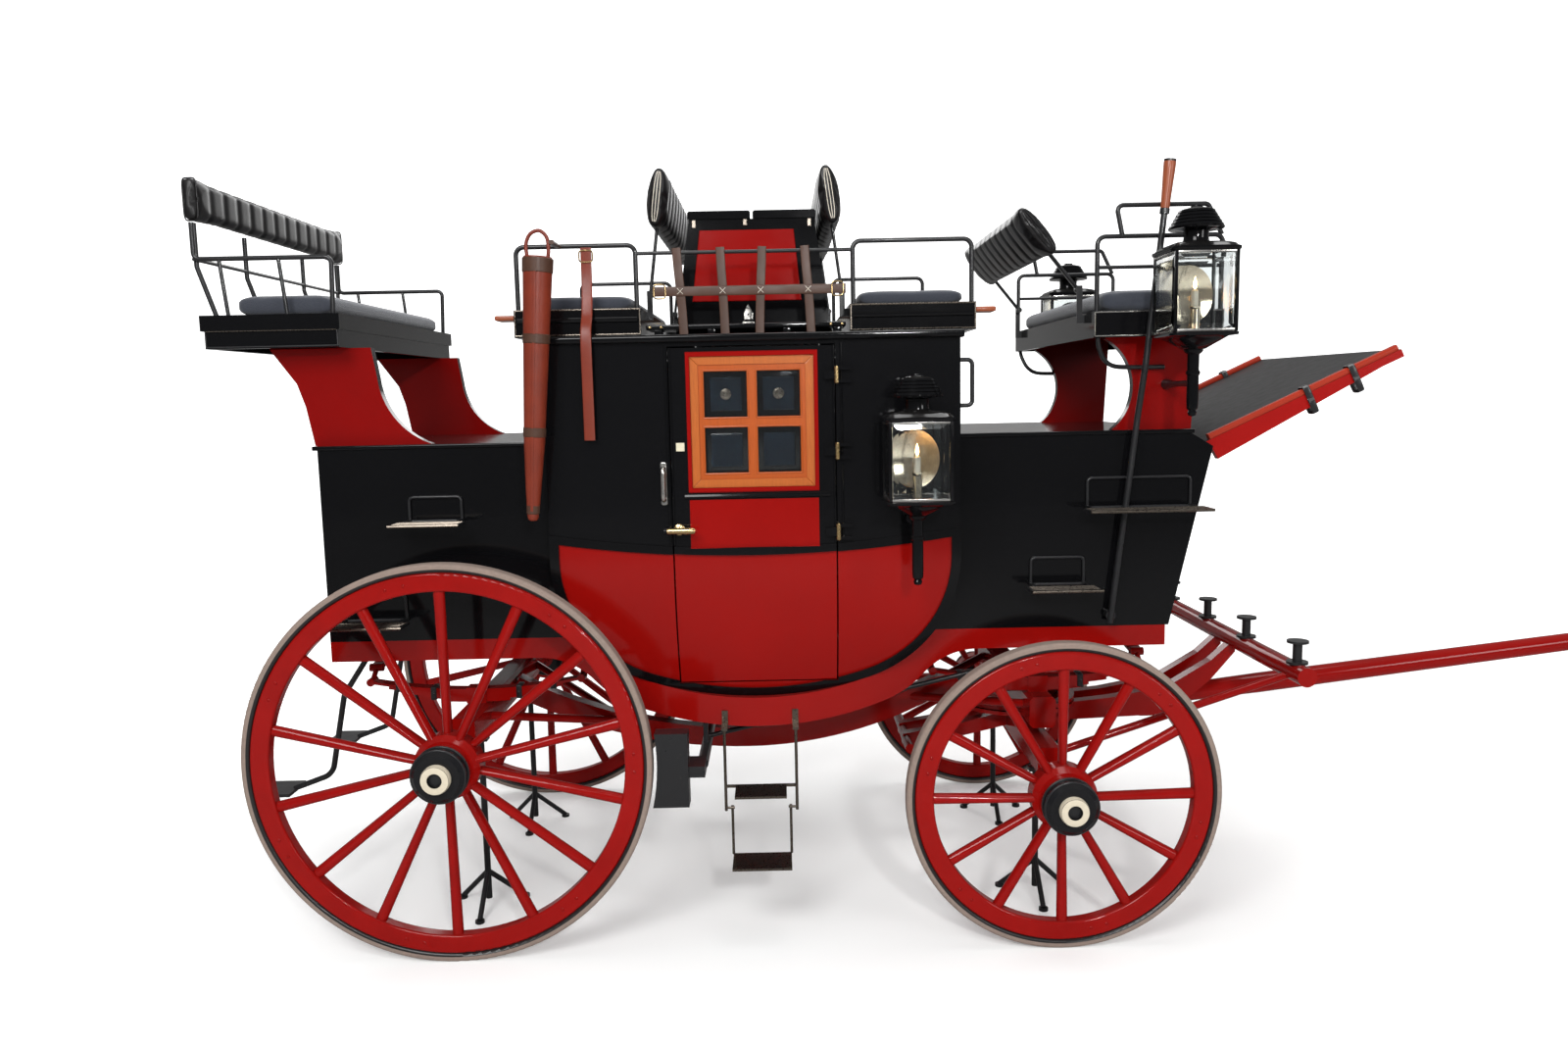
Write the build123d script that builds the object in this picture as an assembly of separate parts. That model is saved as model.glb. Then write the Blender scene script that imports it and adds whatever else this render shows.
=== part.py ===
from build123d import *
from math import asin, atan2, cos, degrees, hypot, pi, radians, sin
import os

# Four-horse private coach of about 1880. Lengths are millimetres, +X is the way it drives,
# +Z is up, and the rear axle is at X 0 until the whole model is centred at the end.

# Cabin length and how far each axle stands past the cabin's ends drive the whole layout
CABIN_LENGTH = 1320.0
WHEEL_REACH = 315.0
WHEELBASE = CABIN_LENGTH + 2 * WHEEL_REACH

# Wheels and axles
HALF_TRACK = 750.0
REAR_WHEEL_R = 647.5
FRONT_WHEEL_R = 502.0
REAR_SPOKES = 14
FRONT_SPOKES = 12
TYRE_DEPTH = 28.0
TYRE_WIDTH = 50.0
FELLOE_DEPTH = 60.0
FELLOE_WIDTH = 46.0
SPOKE_FOOT = (27.0, 46.0)
SPOKE_TONGUE = (36.0, 30.0)
SPOKE_STAGGER = 12.0
NAVE_R = 105.0
NAVE_INNER_R = 78.0
NAVE_INNER = 75.0
NAVE_OUTER = 45.0
NOSE_R = 82.0
NOSE_END = 128.0
CAP_R = 44.0
CAP_EYE_R = 22.0
CAP_EYE_DEPTH = 14.0
CAP_END = 150.0
AXLE_ARM_R = 27.0
AXLE_FIT = 0.3

# Cabin
CABIN_MID = WHEELBASE / 2 + 10.0
CABIN_REAR = CABIN_MID - CABIN_LENGTH / 2
CABIN_FRONT = CABIN_MID + CABIN_LENGTH / 2
CABIN_HALF = 630.0
WALL = 28.0
WALL_TOP = 1960.0
BELT_Z = 1300.0
BOAT_BOTTOM = 785.0
BOAT_BEND_R = 450.0
BOAT_BEND_START = 20.0
TUMBLE_R = 1120.0
END_WALL = 24.0
FLOOR = 18.0
FLOOR_HALF = 470.0
ROOF = 25.0
ROOF_EAVE = 20.0
RIM_DEPTH = 30.0
RIM_PROUD = 8.0
BELT_DEPTH = 26.0
BELT_LOW_Z = 1293.0
BELT_RISE = 53.0

# Doors
DOOR_WIDTH = 530.0
DOOR_BOTTOM = 838.0
DOOR_TOP = 1948.0
DOOR_GAP = 5.0
DOOR_FACE = 8.0
DOOR_REBATE = 15.0
HINGE_OUT = 13.0
HINGE_R = 7.0
HINGE_LENGTH = 50.0
HINGE_LUG = 10.0
HINGE_SPACE = 2.0
HINGE_PIN_R = 3.0
HINGE_Z = (1352.0, 1610.0, 1850.0)
WINDOW_WIDTH = 416.0
WINDOW_LOW = 1488.0
WINDOW_HIGH = 1927.0
WINDOW_FRAME = 12.0
SASH_DEPTH = 16.0
PANE_WIDTH = 138.0
PANE_HEIGHT = 146.0
PANE_SPACING_X = 168.0
PANE_SPACING_Z = 177.0
GLASS = 4.0
HANDLE_Z = 1368.0
HANDLE_R = 9.0
HANDLE_OUT = 40.0
PULL_Z = (1466.0, 1566.0)
PULL_SET = 22.0
PULL_OUT = 30.0
PULL_R = 7.0

# Boots and the sweep that carries them
BOOT_HALF = 540.0
BOOT_WALL = 22.0
BOOT_BOTTOM = 1005.0
BOOT_TOP = 1640.0
BOOT_LIP = 14.0
REAR_BOOT_END = -435.0
FRONT_BOOT_TOP_X = WHEELBASE + 465.0
FRONT_BOOT_NOSE = (WHEELBASE + 537.0, 1596.0)
FRONT_BOOT_TOE_X = WHEELBASE + 402.0
SWEEP_DEPTH = 68.0
SWEEP_WIDTH = 60.0
SWEEP_REACH = 70.7
SWEEP_BOTTOM_TURN = 22.0
SWEEP_BEND_R = 300.0
SWEEP_BEND_TURN = 26.0
SWEEP_RETURN_R = 280.0
BOOT_FIT = 0.5
BOOT_DOOR = 20.0
BOOT_DOOR_GAP = 6.0
BOOT_HINGE_R = 6.0

# Seats
RISER = 34.0
RISER_HALF = 500.0
SEAT_HALF = 590.0
SEAT_BOARD = 26.0
SEAT_SKIRT = 20.0
HIND_SEAT = (-744.0, -322.0)
HIND_SEAT_Z = (1970.0, 2075.0)
BOX_SEAT = (WHEELBASE + 131.0, WHEELBASE + 550.0)
BOX_SEAT_Z = (1952.0, 2035.0)
ROOF_SEAT_LENGTH = 400.0
REAR_ROOF_SEAT_X = CABIN_REAR - 87.0
FRONT_ROOF_SEAT_X = CABIN_FRONT - 345.0
ROOF_SEAT_TOP = 2072.0
CUSHION = 42.0
CUSHION_INSET = 22.0
CUSHION_FIT = 0.3
CUSHION_SOFT_EDGE = 14.0
INSIDE_SEAT_Z = 1170.0

# Irons
IRON_R = 7.5
IRON_BEND = 26.0
IRON_HALF = 575.0
RAIL_Z = 2268.0

# Seat backs
BACK_PAD = 62.0
BACK_PAD_HEIGHT = 200.0
BACK_PAD_HALF = 545.0
BACK_STAY_Y = 440.0
BACK_STAY = (10.0, 26.0)
BACK_PIN_R = 4.0
ROOF_BACK_PIVOT_GAP = 16.0
ROOF_BACK_PIVOT_Z = 2126.0
BOX_BACK_PIVOT_Z = 2116.0
ROOF_BACK_LEAN = 40.0
ROOF_BACK_PAD_Z = 2424.0

# Imperial, the chest on the roof
IMPERIAL_MID = CABIN_MID + 7.0
IMPERIAL_BASE = (516.0, 900.0)
IMPERIAL_TOP = (412.0, 840.0)
IMPERIAL_TOP_Z = 2368.0
IMPERIAL_WALL = 14.0
LID = 26.0
LID_OVERHANG = 5.0
LID_GAP = 8.0
LID_CLEAR = 0.3
LID_HINGE_R = 6.0
LID_HINGE_Y = 255.0
LID_KNUCKLE = 24.0
LID_HINGE_DROP = 104.0

# Lamps
LAMP_GLASS = 236.0
LAMP_WIDTH = 192.0
LAMP_POST = 11.0
LAMP_STEM_R = 18.0

# Undercarriage
BED_HALF = 590.0
BED = (84.0, 96.0)
SPRING_Y = 380.0
SPRING_WIDTH = 46.0
SPRING_HALF = WHEEL_REACH + 50.0
SPRING_CAMBER = 34.0
CROSS_CAMBER = 26.0
SPRING_EYE_R = 14.0
LEAF = 9.0
LEAVES = 5
PERCH = (58.0, 74.0)
PERCH_MID_X = WHEELBASE / 2 - 45.0
PERCH_MID_Z = 487.0
PERCH_REAR_RISE = 221.1
PERCH_FRONT_R = 1500.0
PERCH_NECK_R = 300.0
PERCH_RISE = 27.0
TRANSOM = 90.0
TRANSOM_Z = (640.0, 748.0)
STEER_GAP = 6.0
WHEEL_PLATE_R = 230.0
WHEEL_PLATE = 14.0
WHEEL_PLATE_WIDTH = 46.0
PERCH_BOLT_R = 19.0
SPLINTER_X = WHEELBASE + 820.0
SPLINTER_Z = 842.0
SPLINTER_HALF = 650.0
SPLINTER_R = 32.0
ROLLER_BOLT_Y = (180.0, 575.0)
ROLLER_BOLT_R = 15.0
ROLLER_BOLT_CAP_R = 34.0
ROLLER_BOLT_HEIGHT = 74.0
FUTCHELL_Y = 66.0
FUTCHELL_WIDTH = 44.0
SWAY_X = WHEELBASE - 420.0
SWAY_Z = 483.0
SWAY_HALF = 200.0
POLE_HEEL_X = WHEELBASE + 110.0
POLE_HEEL_Z = 556.0
POLE_HEEL_R = 30.0
POLE_SWELL_R = 38.0
POLE_TIP_X = WHEELBASE + 3700.0
POLE_TIP_Z = 960.0
POLE_TIP_R = 27.0
POLE_PIN_X = WHEELBASE + 160.0
POLE_PIN_R = 9.0

# Brake
BRAKE_BEAM_X = REAR_WHEEL_R + 152.5
BRAKE_BEAM_Z = 612.0
BRAKE_SHOE = (REAR_WHEEL_R - 7.5, REAR_WHEEL_R + 112.5)
LEVER_R = 10.0
LEVER_LOW_Y = 572.0
LEVER_HIGH_Y = 600.0

# Door steps
STEP_MID = CABIN_MID
STEP_Y = 605.0
STEP_TOP_Z = 700.0
STEP_HINGE_Z = 430.0
STEP_BAR_X = 118.0
STEP_BAR_R = 5.0
LOWER_BAR_X = 97.0
LOWER_BAR_R = 4.5
LOWER_LENGTH = 160.0
STEP_PIN_R = 4.0
PIN_FIT = 0.3
TREAD = 8.0
UPPER_TREAD_Z = 500.0
UPPER_TREAD = (168.0, 112.0)
LOWER_TREAD_DEPTH = 122.0

ROOF_TOP = WALL_TOP + ROOF
POLE_SLOPE = (POLE_TIP_Z - POLE_HEEL_Z) / (POLE_TIP_X - POLE_HEEL_X)
POLE_PIN_Z = POLE_HEEL_Z + (POLE_PIN_X - POLE_HEEL_X) * POLE_SLOPE
FRONT_AXLE_Z = FRONT_WHEEL_R
REAR_AXLE_Z = REAR_WHEEL_R

# The sweep's lowest arc and its height follow from the cabin it runs under.
LOW_TURN = radians(SWEEP_BOTTOM_TURN)
FULL_TURN = radians(SWEEP_BOTTOM_TURN + SWEEP_BEND_TURN)
BENDS_REACH = SWEEP_BEND_R * (sin(FULL_TURN) - sin(LOW_TURN)) + SWEEP_RETURN_R * sin(FULL_TURN)
SWEEP_BOTTOM_R = (CABIN_LENGTH / 2 + SWEEP_REACH - BENDS_REACH) / sin(LOW_TURN)
BENDS_RISE = SWEEP_BEND_R * (cos(LOW_TURN) - cos(FULL_TURN)) + SWEEP_RETURN_R * (1 - cos(FULL_TURN))
SWEEP_MID_Z = BOOT_BOTTOM - SWEEP_DEPTH / 2 - SWEEP_BOTTOM_R * (1 - cos(LOW_TURN)) - BENDS_RISE

nodes = {}


def block(x, y, z):
    """Box between two corners, each axis given as (low, high)."""
    size = [high - low for low, high in (x, y, z)]
    middle = [(high + low) / 2 for low, high in (x, y, z)]
    return Pos(*middle) * Box(*size)


def both(piece):
    """A piece of the left side and its mirror on the right side."""
    return [piece, mirror(piece, Plane.XZ)]


def plate(outline, y_low, y_high):
    """Outline drawn in X and Z, made solid between two widths."""
    return extrude(Plane.XZ.offset(-y_high) * outline, y_high - y_low)


def polygon(*points):
    """Flat face inside straight edges."""
    return make_face(Polyline(*points, close=True))


def join(pieces):
    """One shape fused from a list of solids."""
    first, *rest = pieces
    return first.fuse(*rest) if rest else first


def group(pieces):
    """Separate solids kept together as one node."""
    return Compound(children=[solid for piece in pieces for solid in piece.solids()])


def rod(start, end, radius, end_radius=None):
    """Round bar from one point to another, tapered if a second radius is given."""
    start, end = Vector(*start), Vector(*end)
    along = end - start
    low = Plane(origin=start, z_dir=along) * Circle(radius)
    if end_radius is None:
        return extrude(low, along.length)
    return loft([low, Plane(origin=end, z_dir=along) * Circle(end_radius)])


def bent_bar(points, radius, bend=IRON_BEND):
    """Round bar along straight runs with bent corners."""
    path = FilletPolyline(*points, radius=bend)
    section = Plane(origin=path @ 0, z_dir=path % 0) * Circle(radius)
    return sweep(section, path=path)


def turned(profile, place=(0, 0, 0)):
    """Solid turned about Z from a list of (radius, height)."""
    outline = make_face(Plane.XZ * Polyline(*profile, close=True))
    return Pos(*place) * revolve(outline, Axis.Z)


# Cabin walls

def wall_section(inner, outer, top):
    """Side wall between two offsets of its outer face: upright above the belt and
    tumbling in below it on one arc, drawn in Y and Z."""
    hub = (CABIN_HALF - TUMBLE_R, BELT_Z)
    swing = degrees(asin((BELT_Z - SWEEP_MID_Z) / (TUMBLE_R - WALL)))
    outside = CenterArc(hub, TUMBLE_R + outer, 0, -swing)
    inside = CenterArc(hub, TUMBLE_R + inner, 0, -swing)
    out_y = CABIN_HALF + outer
    in_y = CABIN_HALF + inner
    top_edge = Polyline((out_y, BELT_Z), (out_y, top), (in_y, top), (in_y, BELT_Z))
    return make_face([outside, inside, top_edge, Line(outside @ 1, inside @ 1)])


def skin(outline, inner, outer, top=WALL_TOP):
    """The part of the side wall that lies inside an outline drawn in X and Z."""
    section = wall_section(inner, outer, top)
    run = extrude(Plane.YZ.offset(CABIN_REAR - END_WALL) * section, CABIN_LENGTH + 2 * END_WALL)
    return run & plate(outline, CABIN_HALF - TUMBLE_R / 2, CABIN_HALF + TUMBLE_R / 2)


def boat_arcs(grow=0.0):
    """Bottom and bend arcs of the cabin's boat-shaped lower edge, as wires left to right."""
    bend = radians(BOAT_BEND_START)
    bottom_r = (CABIN_LENGTH / 2 - BOAT_BEND_R * (1 - sin(bend))) / sin(bend)
    hub_z = BOAT_BOTTOM + bottom_r
    bottom = CenterArc((CABIN_MID, hub_z), bottom_r + grow, 270 - BOAT_BEND_START, 2 * BOAT_BEND_START)
    reach = (bottom_r - BOAT_BEND_R) * sin(bend)
    bend_z = hub_z - (bottom_r - BOAT_BEND_R) * cos(bend)
    span = 90 - BOAT_BEND_START
    rear = CenterArc((CABIN_MID - reach, bend_z), BOAT_BEND_R + grow, 180, span)
    front = CenterArc((CABIN_MID + reach, bend_z), BOAT_BEND_R + grow, 270 + BOAT_BEND_START, span)
    return rear, bottom, front


def cabin_outline(grow=0.0, top=WALL_TOP):
    """Side view of the cabin, grown evenly outwards below its top."""
    rear, bottom, front = boat_arcs(grow)
    rest = Polyline(front @ 1, (CABIN_FRONT + grow, top), (CABIN_REAR - grow, top), rear @ 0)
    return make_face([rear, bottom, front, rest])


def side_view(x, z):
    """Rectangle in X and Z."""
    (x0, x1), (z0, z1) = x, z
    return polygon((x0, z0), (x1, z0), (x1, z1), (x0, z1))


DOOR_X = (CABIN_MID - DOOR_WIDTH / 2, CABIN_MID + DOOR_WIDTH / 2)
WINDOW_X = (CABIN_MID - WINDOW_WIDTH / 2, CABIN_MID + WINDOW_WIDTH / 2)
HINGE_X = DOOR_X[1] + DOOR_GAP / 2
HINGE_Y = CABIN_HALF + HINGE_OUT


def door_opening():
    """Opening of one door, straight through the left wall."""
    return block(DOOR_X, (CABIN_HALF - TUMBLE_R / 5, CABIN_HALF + WALL), (DOOR_BOTTOM, DOOR_TOP))


def door_leaf():
    """Door that fills the opening less its gaps; the thick inner layer is rebated at the free edge."""
    high = DOOR_TOP - DOOR_GAP
    low = DOOR_BOTTOM + DOOR_GAP
    front = DOOR_X[1] - DOOR_GAP
    face = side_view((DOOR_X[0] + DOOR_GAP, front), (low, high))
    core = side_view((DOOR_X[0] + DOOR_REBATE, front), (low, high))
    outline = cabin_outline()
    return skin(outline & face, -DOOR_FACE, 0) + skin(outline & core, -WALL, -DOOR_FACE)


def door_hinge_lugs():
    """Lugs on the front jamb with the pins that the door's knuckles turn on."""
    pieces = []
    for hinge_z in HINGE_Z:
        pieces.append(Pos(HINGE_X, HINGE_Y, hinge_z) * Cylinder(HINGE_PIN_R, HINGE_LENGTH))
        for sign in (-1, 1):
            lug_z = hinge_z + sign * (HINGE_LENGTH - HINGE_LUG) / 2
            z = (lug_z - HINGE_LUG / 2, lug_z + HINGE_LUG / 2)
            pieces.append(Pos(HINGE_X, HINGE_Y, lug_z) * Cylinder(HINGE_R, HINGE_LUG))
            pieces.append(block((HINGE_X, HINGE_X + 44), (CABIN_HALF - 1, HINGE_Y + HINGE_R / 2), z))
    return pieces


def belt_band(x):
    """Belt moulding between two places along the coach: a shallow curve, lowest at the door."""
    past = 2 * BELT_DEPTH
    high_z = BELT_LOW_Z + BELT_RISE * (1 + 2 * past / CABIN_LENGTH) ** 2
    line = ThreePointArc((CABIN_REAR - past, high_z), (CABIN_MID, BELT_LOW_Z), (CABIN_FRONT + past, high_z))
    return (Sketch() + trace(line, BELT_DEPTH)) & side_view(x, (BELT_LOW_Z - BELT_DEPTH, WALL_TOP))


def build_cabin():
    whole = cabin_outline()
    opening = door_opening()
    pull_x = DOOR_X[0] - PULL_SET
    pull_y = CABIN_HALF + PULL_OUT
    pull = bent_bar([(pull_x, CABIN_HALF - 4, PULL_Z[0]), (pull_x, pull_y, PULL_Z[0]), (pull_x, pull_y, PULL_Z[1]),
                     (pull_x, CABIN_HALF - 4, PULL_Z[1])], PULL_R, 2 * PULL_R)
    wall = join([skin(whole, -WALL, 0) - opening, *door_hinge_lugs(), pull])
    nodes["cabin_side_left"], nodes["cabin_side_right"] = both(wall)

    rim = cabin_outline() - cabin_outline(-RIM_DEPTH)
    rim &= side_view((CABIN_REAR, CABIN_FRONT), (BOAT_BOTTOM, BELT_LOW_Z + BELT_RISE))
    moulding = skin(rim + belt_band((CABIN_REAR, CABIN_FRONT)), 0, RIM_PROUD) - opening
    nodes["body_mouldings"] = group(both(moulding))

    inside = CABIN_HALF - WALL
    ends = [(CABIN_REAR, CABIN_REAR + END_WALL), (CABIN_FRONT - END_WALL, CABIN_FRONT)]
    nodes["cabin_end_walls"] = group([block(x, (-inside, inside), (BELT_Z, WALL_TOP)) for x in ends])

    shell = cabin_outline(top=BELT_Z) - cabin_outline(-FLOOR, top=BELT_Z)
    nodes["cabin_floor"] = plate(shell, -FLOOR_HALF, FLOOR_HALF)

    eave = (CABIN_REAR - ROOF_EAVE / 2, CABIN_FRONT + ROOF_EAVE / 2)
    roof = block(eave, (-CABIN_HALF - ROOF_EAVE, CABIN_HALF + ROOF_EAVE), (WALL_TOP, ROOF_TOP))
    nodes["roof"] = fillet(roof.edges().filter_by(Axis.X), ROOF / 2.5)


# Doors: one leaf per side with its sash, glass and handle

def build_doors():
    leaf = door_leaf()
    leaf += skin(belt_band((DOOR_X[0] + DOOR_GAP, DOOR_X[1] - DOOR_GAP)), 0, RIM_PROUD)
    window = side_view(WINDOW_X, (WINDOW_LOW, WINDOW_HIGH))
    frame = side_view(
        (WINDOW_X[0] + WINDOW_FRAME, WINDOW_X[1] - WINDOW_FRAME),
        (WINDOW_LOW + WINDOW_FRAME, WINDOW_HIGH - WINDOW_FRAME),
    )
    leaf -= plate(frame, CABIN_HALF - 2 * WALL, CABIN_HALF + WALL)
    leaf += plate(window - frame, CABIN_HALF, CABIN_HALF + RIM_PROUD / 2)

    spindle_x = DOOR_X[0] + 2.5 * HANDLE_R
    grip_y = CABIN_HALF + HANDLE_OUT
    spindle = rod((spindle_x, CABIN_HALF - WALL / 2, HANDLE_Z), (spindle_x, grip_y, HANDLE_Z), HANDLE_R)
    grip = rod((spindle_x - 5 * HANDLE_R, grip_y, HANDLE_Z), (spindle_x + 6.5 * HANDLE_R, grip_y, HANDLE_Z),
               HANDLE_R, 0.8 * HANDLE_R)
    leaf = join([leaf, spindle, grip])
    for hinge_z in HINGE_Z:
        half = HINGE_LENGTH / 2 - HINGE_LUG - HINGE_SPACE
        strap = block((HINGE_X - 40, HINGE_X), (CABIN_HALF, HINGE_Y + HINGE_R / 2), (hinge_z - half, hinge_z + half))
        strap -= block((DOOR_X[1] - DOOR_GAP, HINGE_X), (0, HINGE_Y - HINGE_R / 2), (0, DOOR_TOP))
        strap += Pos(HINGE_X, HINGE_Y, hinge_z) * Cylinder(HINGE_R, 2 * half)
        leaf = leaf + strap - Pos(HINGE_X, HINGE_Y, hinge_z) * Cylinder(HINGE_PIN_R + PIN_FIT, HINGE_LENGTH)

    middle_z = (WINDOW_LOW + WINDOW_HIGH) / 2
    sash_y = (CABIN_HALF - WALL / 2 - SASH_DEPTH / 2, CABIN_HALF - WALL / 2 + SASH_DEPTH / 2)
    panes = [
        (CABIN_MID + column * PANE_SPACING_X / 2, middle_z + row * PANE_SPACING_Z / 2)
        for column in (-1, 1) for row in (-1, 1)
    ]
    sash_face = frame
    glass = []
    for x, z in panes:
        light = Pos(x, z) * Rectangle(PANE_WIDTH, PANE_HEIGHT)
        sash_face -= light
        glass.append(plate(light, CABIN_HALF - WALL / 2 - GLASS / 2, CABIN_HALF - WALL / 2 + GLASS / 2))
    sash = plate(sash_face, *sash_y)
    for side, turn in (("left", False), ("right", True)):
        for name, piece in (("door", leaf), ("door_sash", sash), ("door_glass", group(glass))):
            nodes[f"{name}_{side}"] = mirror(piece, Plane.XZ) if turn else piece


# Boots, their lids and the red rails that sweep under the cabin

BOOT_HINGE_X = REAR_BOOT_END - BOOT_HINGE_R - BOOT_DOOR_GAP
BOOT_HINGE_Z = BOOT_BOTTOM + BOOT_WALL


def boot_shell(outline, void):
    """Hollow boot cut off against the cabin."""
    shell = plate(outline, -BOOT_HALF, BOOT_HALF)
    shell -= plate(void, -BOOT_HALF + BOOT_WALL, BOOT_HALF - BOOT_WALL)
    return shell - plate(cabin_outline(BOOT_FIT), -CABIN_HALF, CABIN_HALF)


def boot_lid(x):
    """Flat top of a boot with a lip that stands past its sides."""
    lid = block(x, (-BOOT_HALF - BOOT_LIP / 2, BOOT_HALF + BOOT_LIP / 2), (BOOT_TOP, BOOT_TOP + BOOT_LIP))
    return fillet(lid.edges().filter_by(Axis.X), BOOT_LIP / 3)


def build_boots():
    nose_x, nose_z = FRONT_BOOT_NOSE
    inner_x = CABIN_FRONT - CABIN_LENGTH / 5
    outline = polygon(
        (inner_x, BOOT_BOTTOM), (FRONT_BOOT_TOE_X, BOOT_BOTTOM), (nose_x, nose_z),
        (FRONT_BOOT_TOP_X, BOOT_TOP), (inner_x, BOOT_TOP),
    )
    void = polygon(
        (inner_x, BOOT_BOTTOM + BOOT_WALL), (FRONT_BOOT_TOE_X - BOOT_WALL, BOOT_BOTTOM + BOOT_WALL),
        (nose_x - 1.6 * BOOT_WALL, nose_z - BOOT_WALL / 2),
        (FRONT_BOOT_TOP_X - BOOT_WALL, BOOT_TOP - BOOT_WALL), (inner_x, BOOT_TOP - BOOT_WALL),
    )
    nodes["front_boot"] = boot_shell(outline, void)

    inner_x = CABIN_REAR + CABIN_LENGTH / 5
    outline = side_view((REAR_BOOT_END, inner_x), (BOOT_BOTTOM, BOOT_TOP))
    void = side_view((REAR_BOOT_END - BOOT_WALL, inner_x), (BOOT_BOTTOM + BOOT_WALL, BOOT_TOP - BOOT_WALL))
    nodes["rear_boot"] = boot_shell(outline, void)
    nodes["boot_lids"] = group([
        boot_lid((REAR_BOOT_END - BOOT_LIP, CABIN_REAR - BOOT_FIT)),
        boot_lid((CABIN_FRONT + BOOT_FIT, FRONT_BOOT_TOP_X + BOOT_LIP / 2)),
    ])

    gap = BOOT_DOOR_GAP
    width = BOOT_HALF - BOOT_WALL - gap
    low, high = BOOT_BOTTOM + BOOT_WALL + gap, BOOT_TOP - BOOT_WALL - gap
    door = block((REAR_BOOT_END, REAR_BOOT_END + BOOT_DOOR), (-width, width), (low, high))
    panel = block((REAR_BOOT_END - 4, REAR_BOOT_END), (-width + 50, width - 50), (low + 50, high - 50))
    catch = rod((REAR_BOOT_END - 26, 0, high - 60), (REAR_BOOT_END, 0, high - 60), 12)
    hinges = []
    for y in (-0.6 * width, 0.6 * width):
        hinges.append(Pos(BOOT_HINGE_X, y, BOOT_HINGE_Z) * Rot(90, 0, 0) * Cylinder(BOOT_HINGE_R, 60))
        hinges.append(block((BOOT_HINGE_X - BOOT_HINGE_R, REAR_BOOT_END), (y - 20, y + 20), (BOOT_HINGE_Z, low + 60)))
    nodes["boot_door"] = join([door, panel, catch, *hinges])


def sweep_half(direction):
    """Centre line of the sweep from the cabin's middle to one boot."""
    start = (CABIN_MID, SWEEP_MID_Z)
    turn = 1 if direction > 0 else -1
    bottom = JernArc(start, (direction, 0), SWEEP_BOTTOM_R, turn * SWEEP_BOTTOM_TURN)
    bend = JernArc(bottom @ 1, bottom % 1, SWEEP_BEND_R, turn * SWEEP_BEND_TURN)
    back = JernArc(bend @ 1, bend % 1, SWEEP_RETURN_R, -turn * (SWEEP_BOTTOM_TURN + SWEEP_BEND_TURN))
    end_x = FRONT_BOOT_TOE_X - BOOT_WALL / 2 if direction > 0 else REAR_BOOT_END
    return [bottom, bend, back, Line(back @ 1, (end_x, (back @ 1).Y))]


def sweep_field():
    """Field from the sweep's centre line up to the boots' bottoms, in X and Z."""
    front, rear = sweep_half(1), sweep_half(-1)
    x_front, z_front = (front[-1] @ 1).X, (front[-1] @ 1).Y
    x_rear, z_rear = (rear[-1] @ 1).X, (rear[-1] @ 1).Y
    lid = Polyline((x_front, z_front), (x_front, BOOT_BOTTOM), (x_rear, BOOT_BOTTOM), (x_rear, z_rear))
    return make_face([*front, *rear, lid])


def build_sweep():
    top = BOOT_BOTTOM
    band = offset_band(SWEEP_DEPTH / 2)
    side = plate(band + sweep_field(), BOOT_HALF - SWEEP_WIDTH, BOOT_HALF)
    side -= plate(cabin_outline(BOOT_FIT), -CABIN_HALF, CABIN_HALF)
    rail_z = (top - SWEEP_DEPTH, top - 8)
    bars = []
    for x in (-SPRING_HALF, SPRING_HALF, WHEELBASE - SPRING_HALF, WHEELBASE + SPRING_HALF):
        half = BOOT_HALF - SWEEP_WIDTH
        bars.append(block((x - 32, x + 32), (-half, half), rail_z))
    nodes["bottom_rails"] = join([*both(side), *bars])


def offset_band(half):
    """Band of even depth along the sweep's centre line."""
    pieces = []
    for direction in (1, -1):
        for edge in sweep_half(direction):
            pieces.append(trace(edge, 2 * half))
    return Sketch() + pieces


# Seats on their risers, and everything padded

def seat_box(x, z, half):
    """Seat with a board on top and a skirt round it, open below."""
    seat = block(x, (-half, half), z)
    hollow = block(
        (x[0] + SEAT_SKIRT, x[1] - SEAT_SKIRT), (-half + SEAT_SKIRT, half - SEAT_SKIRT), (z[0], z[1] - SEAT_BOARD)
    )
    return seat - hollow


def cushion(x, z_low, half, thickness=CUSHION):
    """Flat pad with soft edges."""
    pad = block((x[0] + CUSHION_INSET, x[1] - CUSHION_INSET), (-half, half),
                (z_low + CUSHION_FIT, z_low + thickness))
    return fillet(pad.edges(), CUSHION_SOFT_EDGE)


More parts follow.
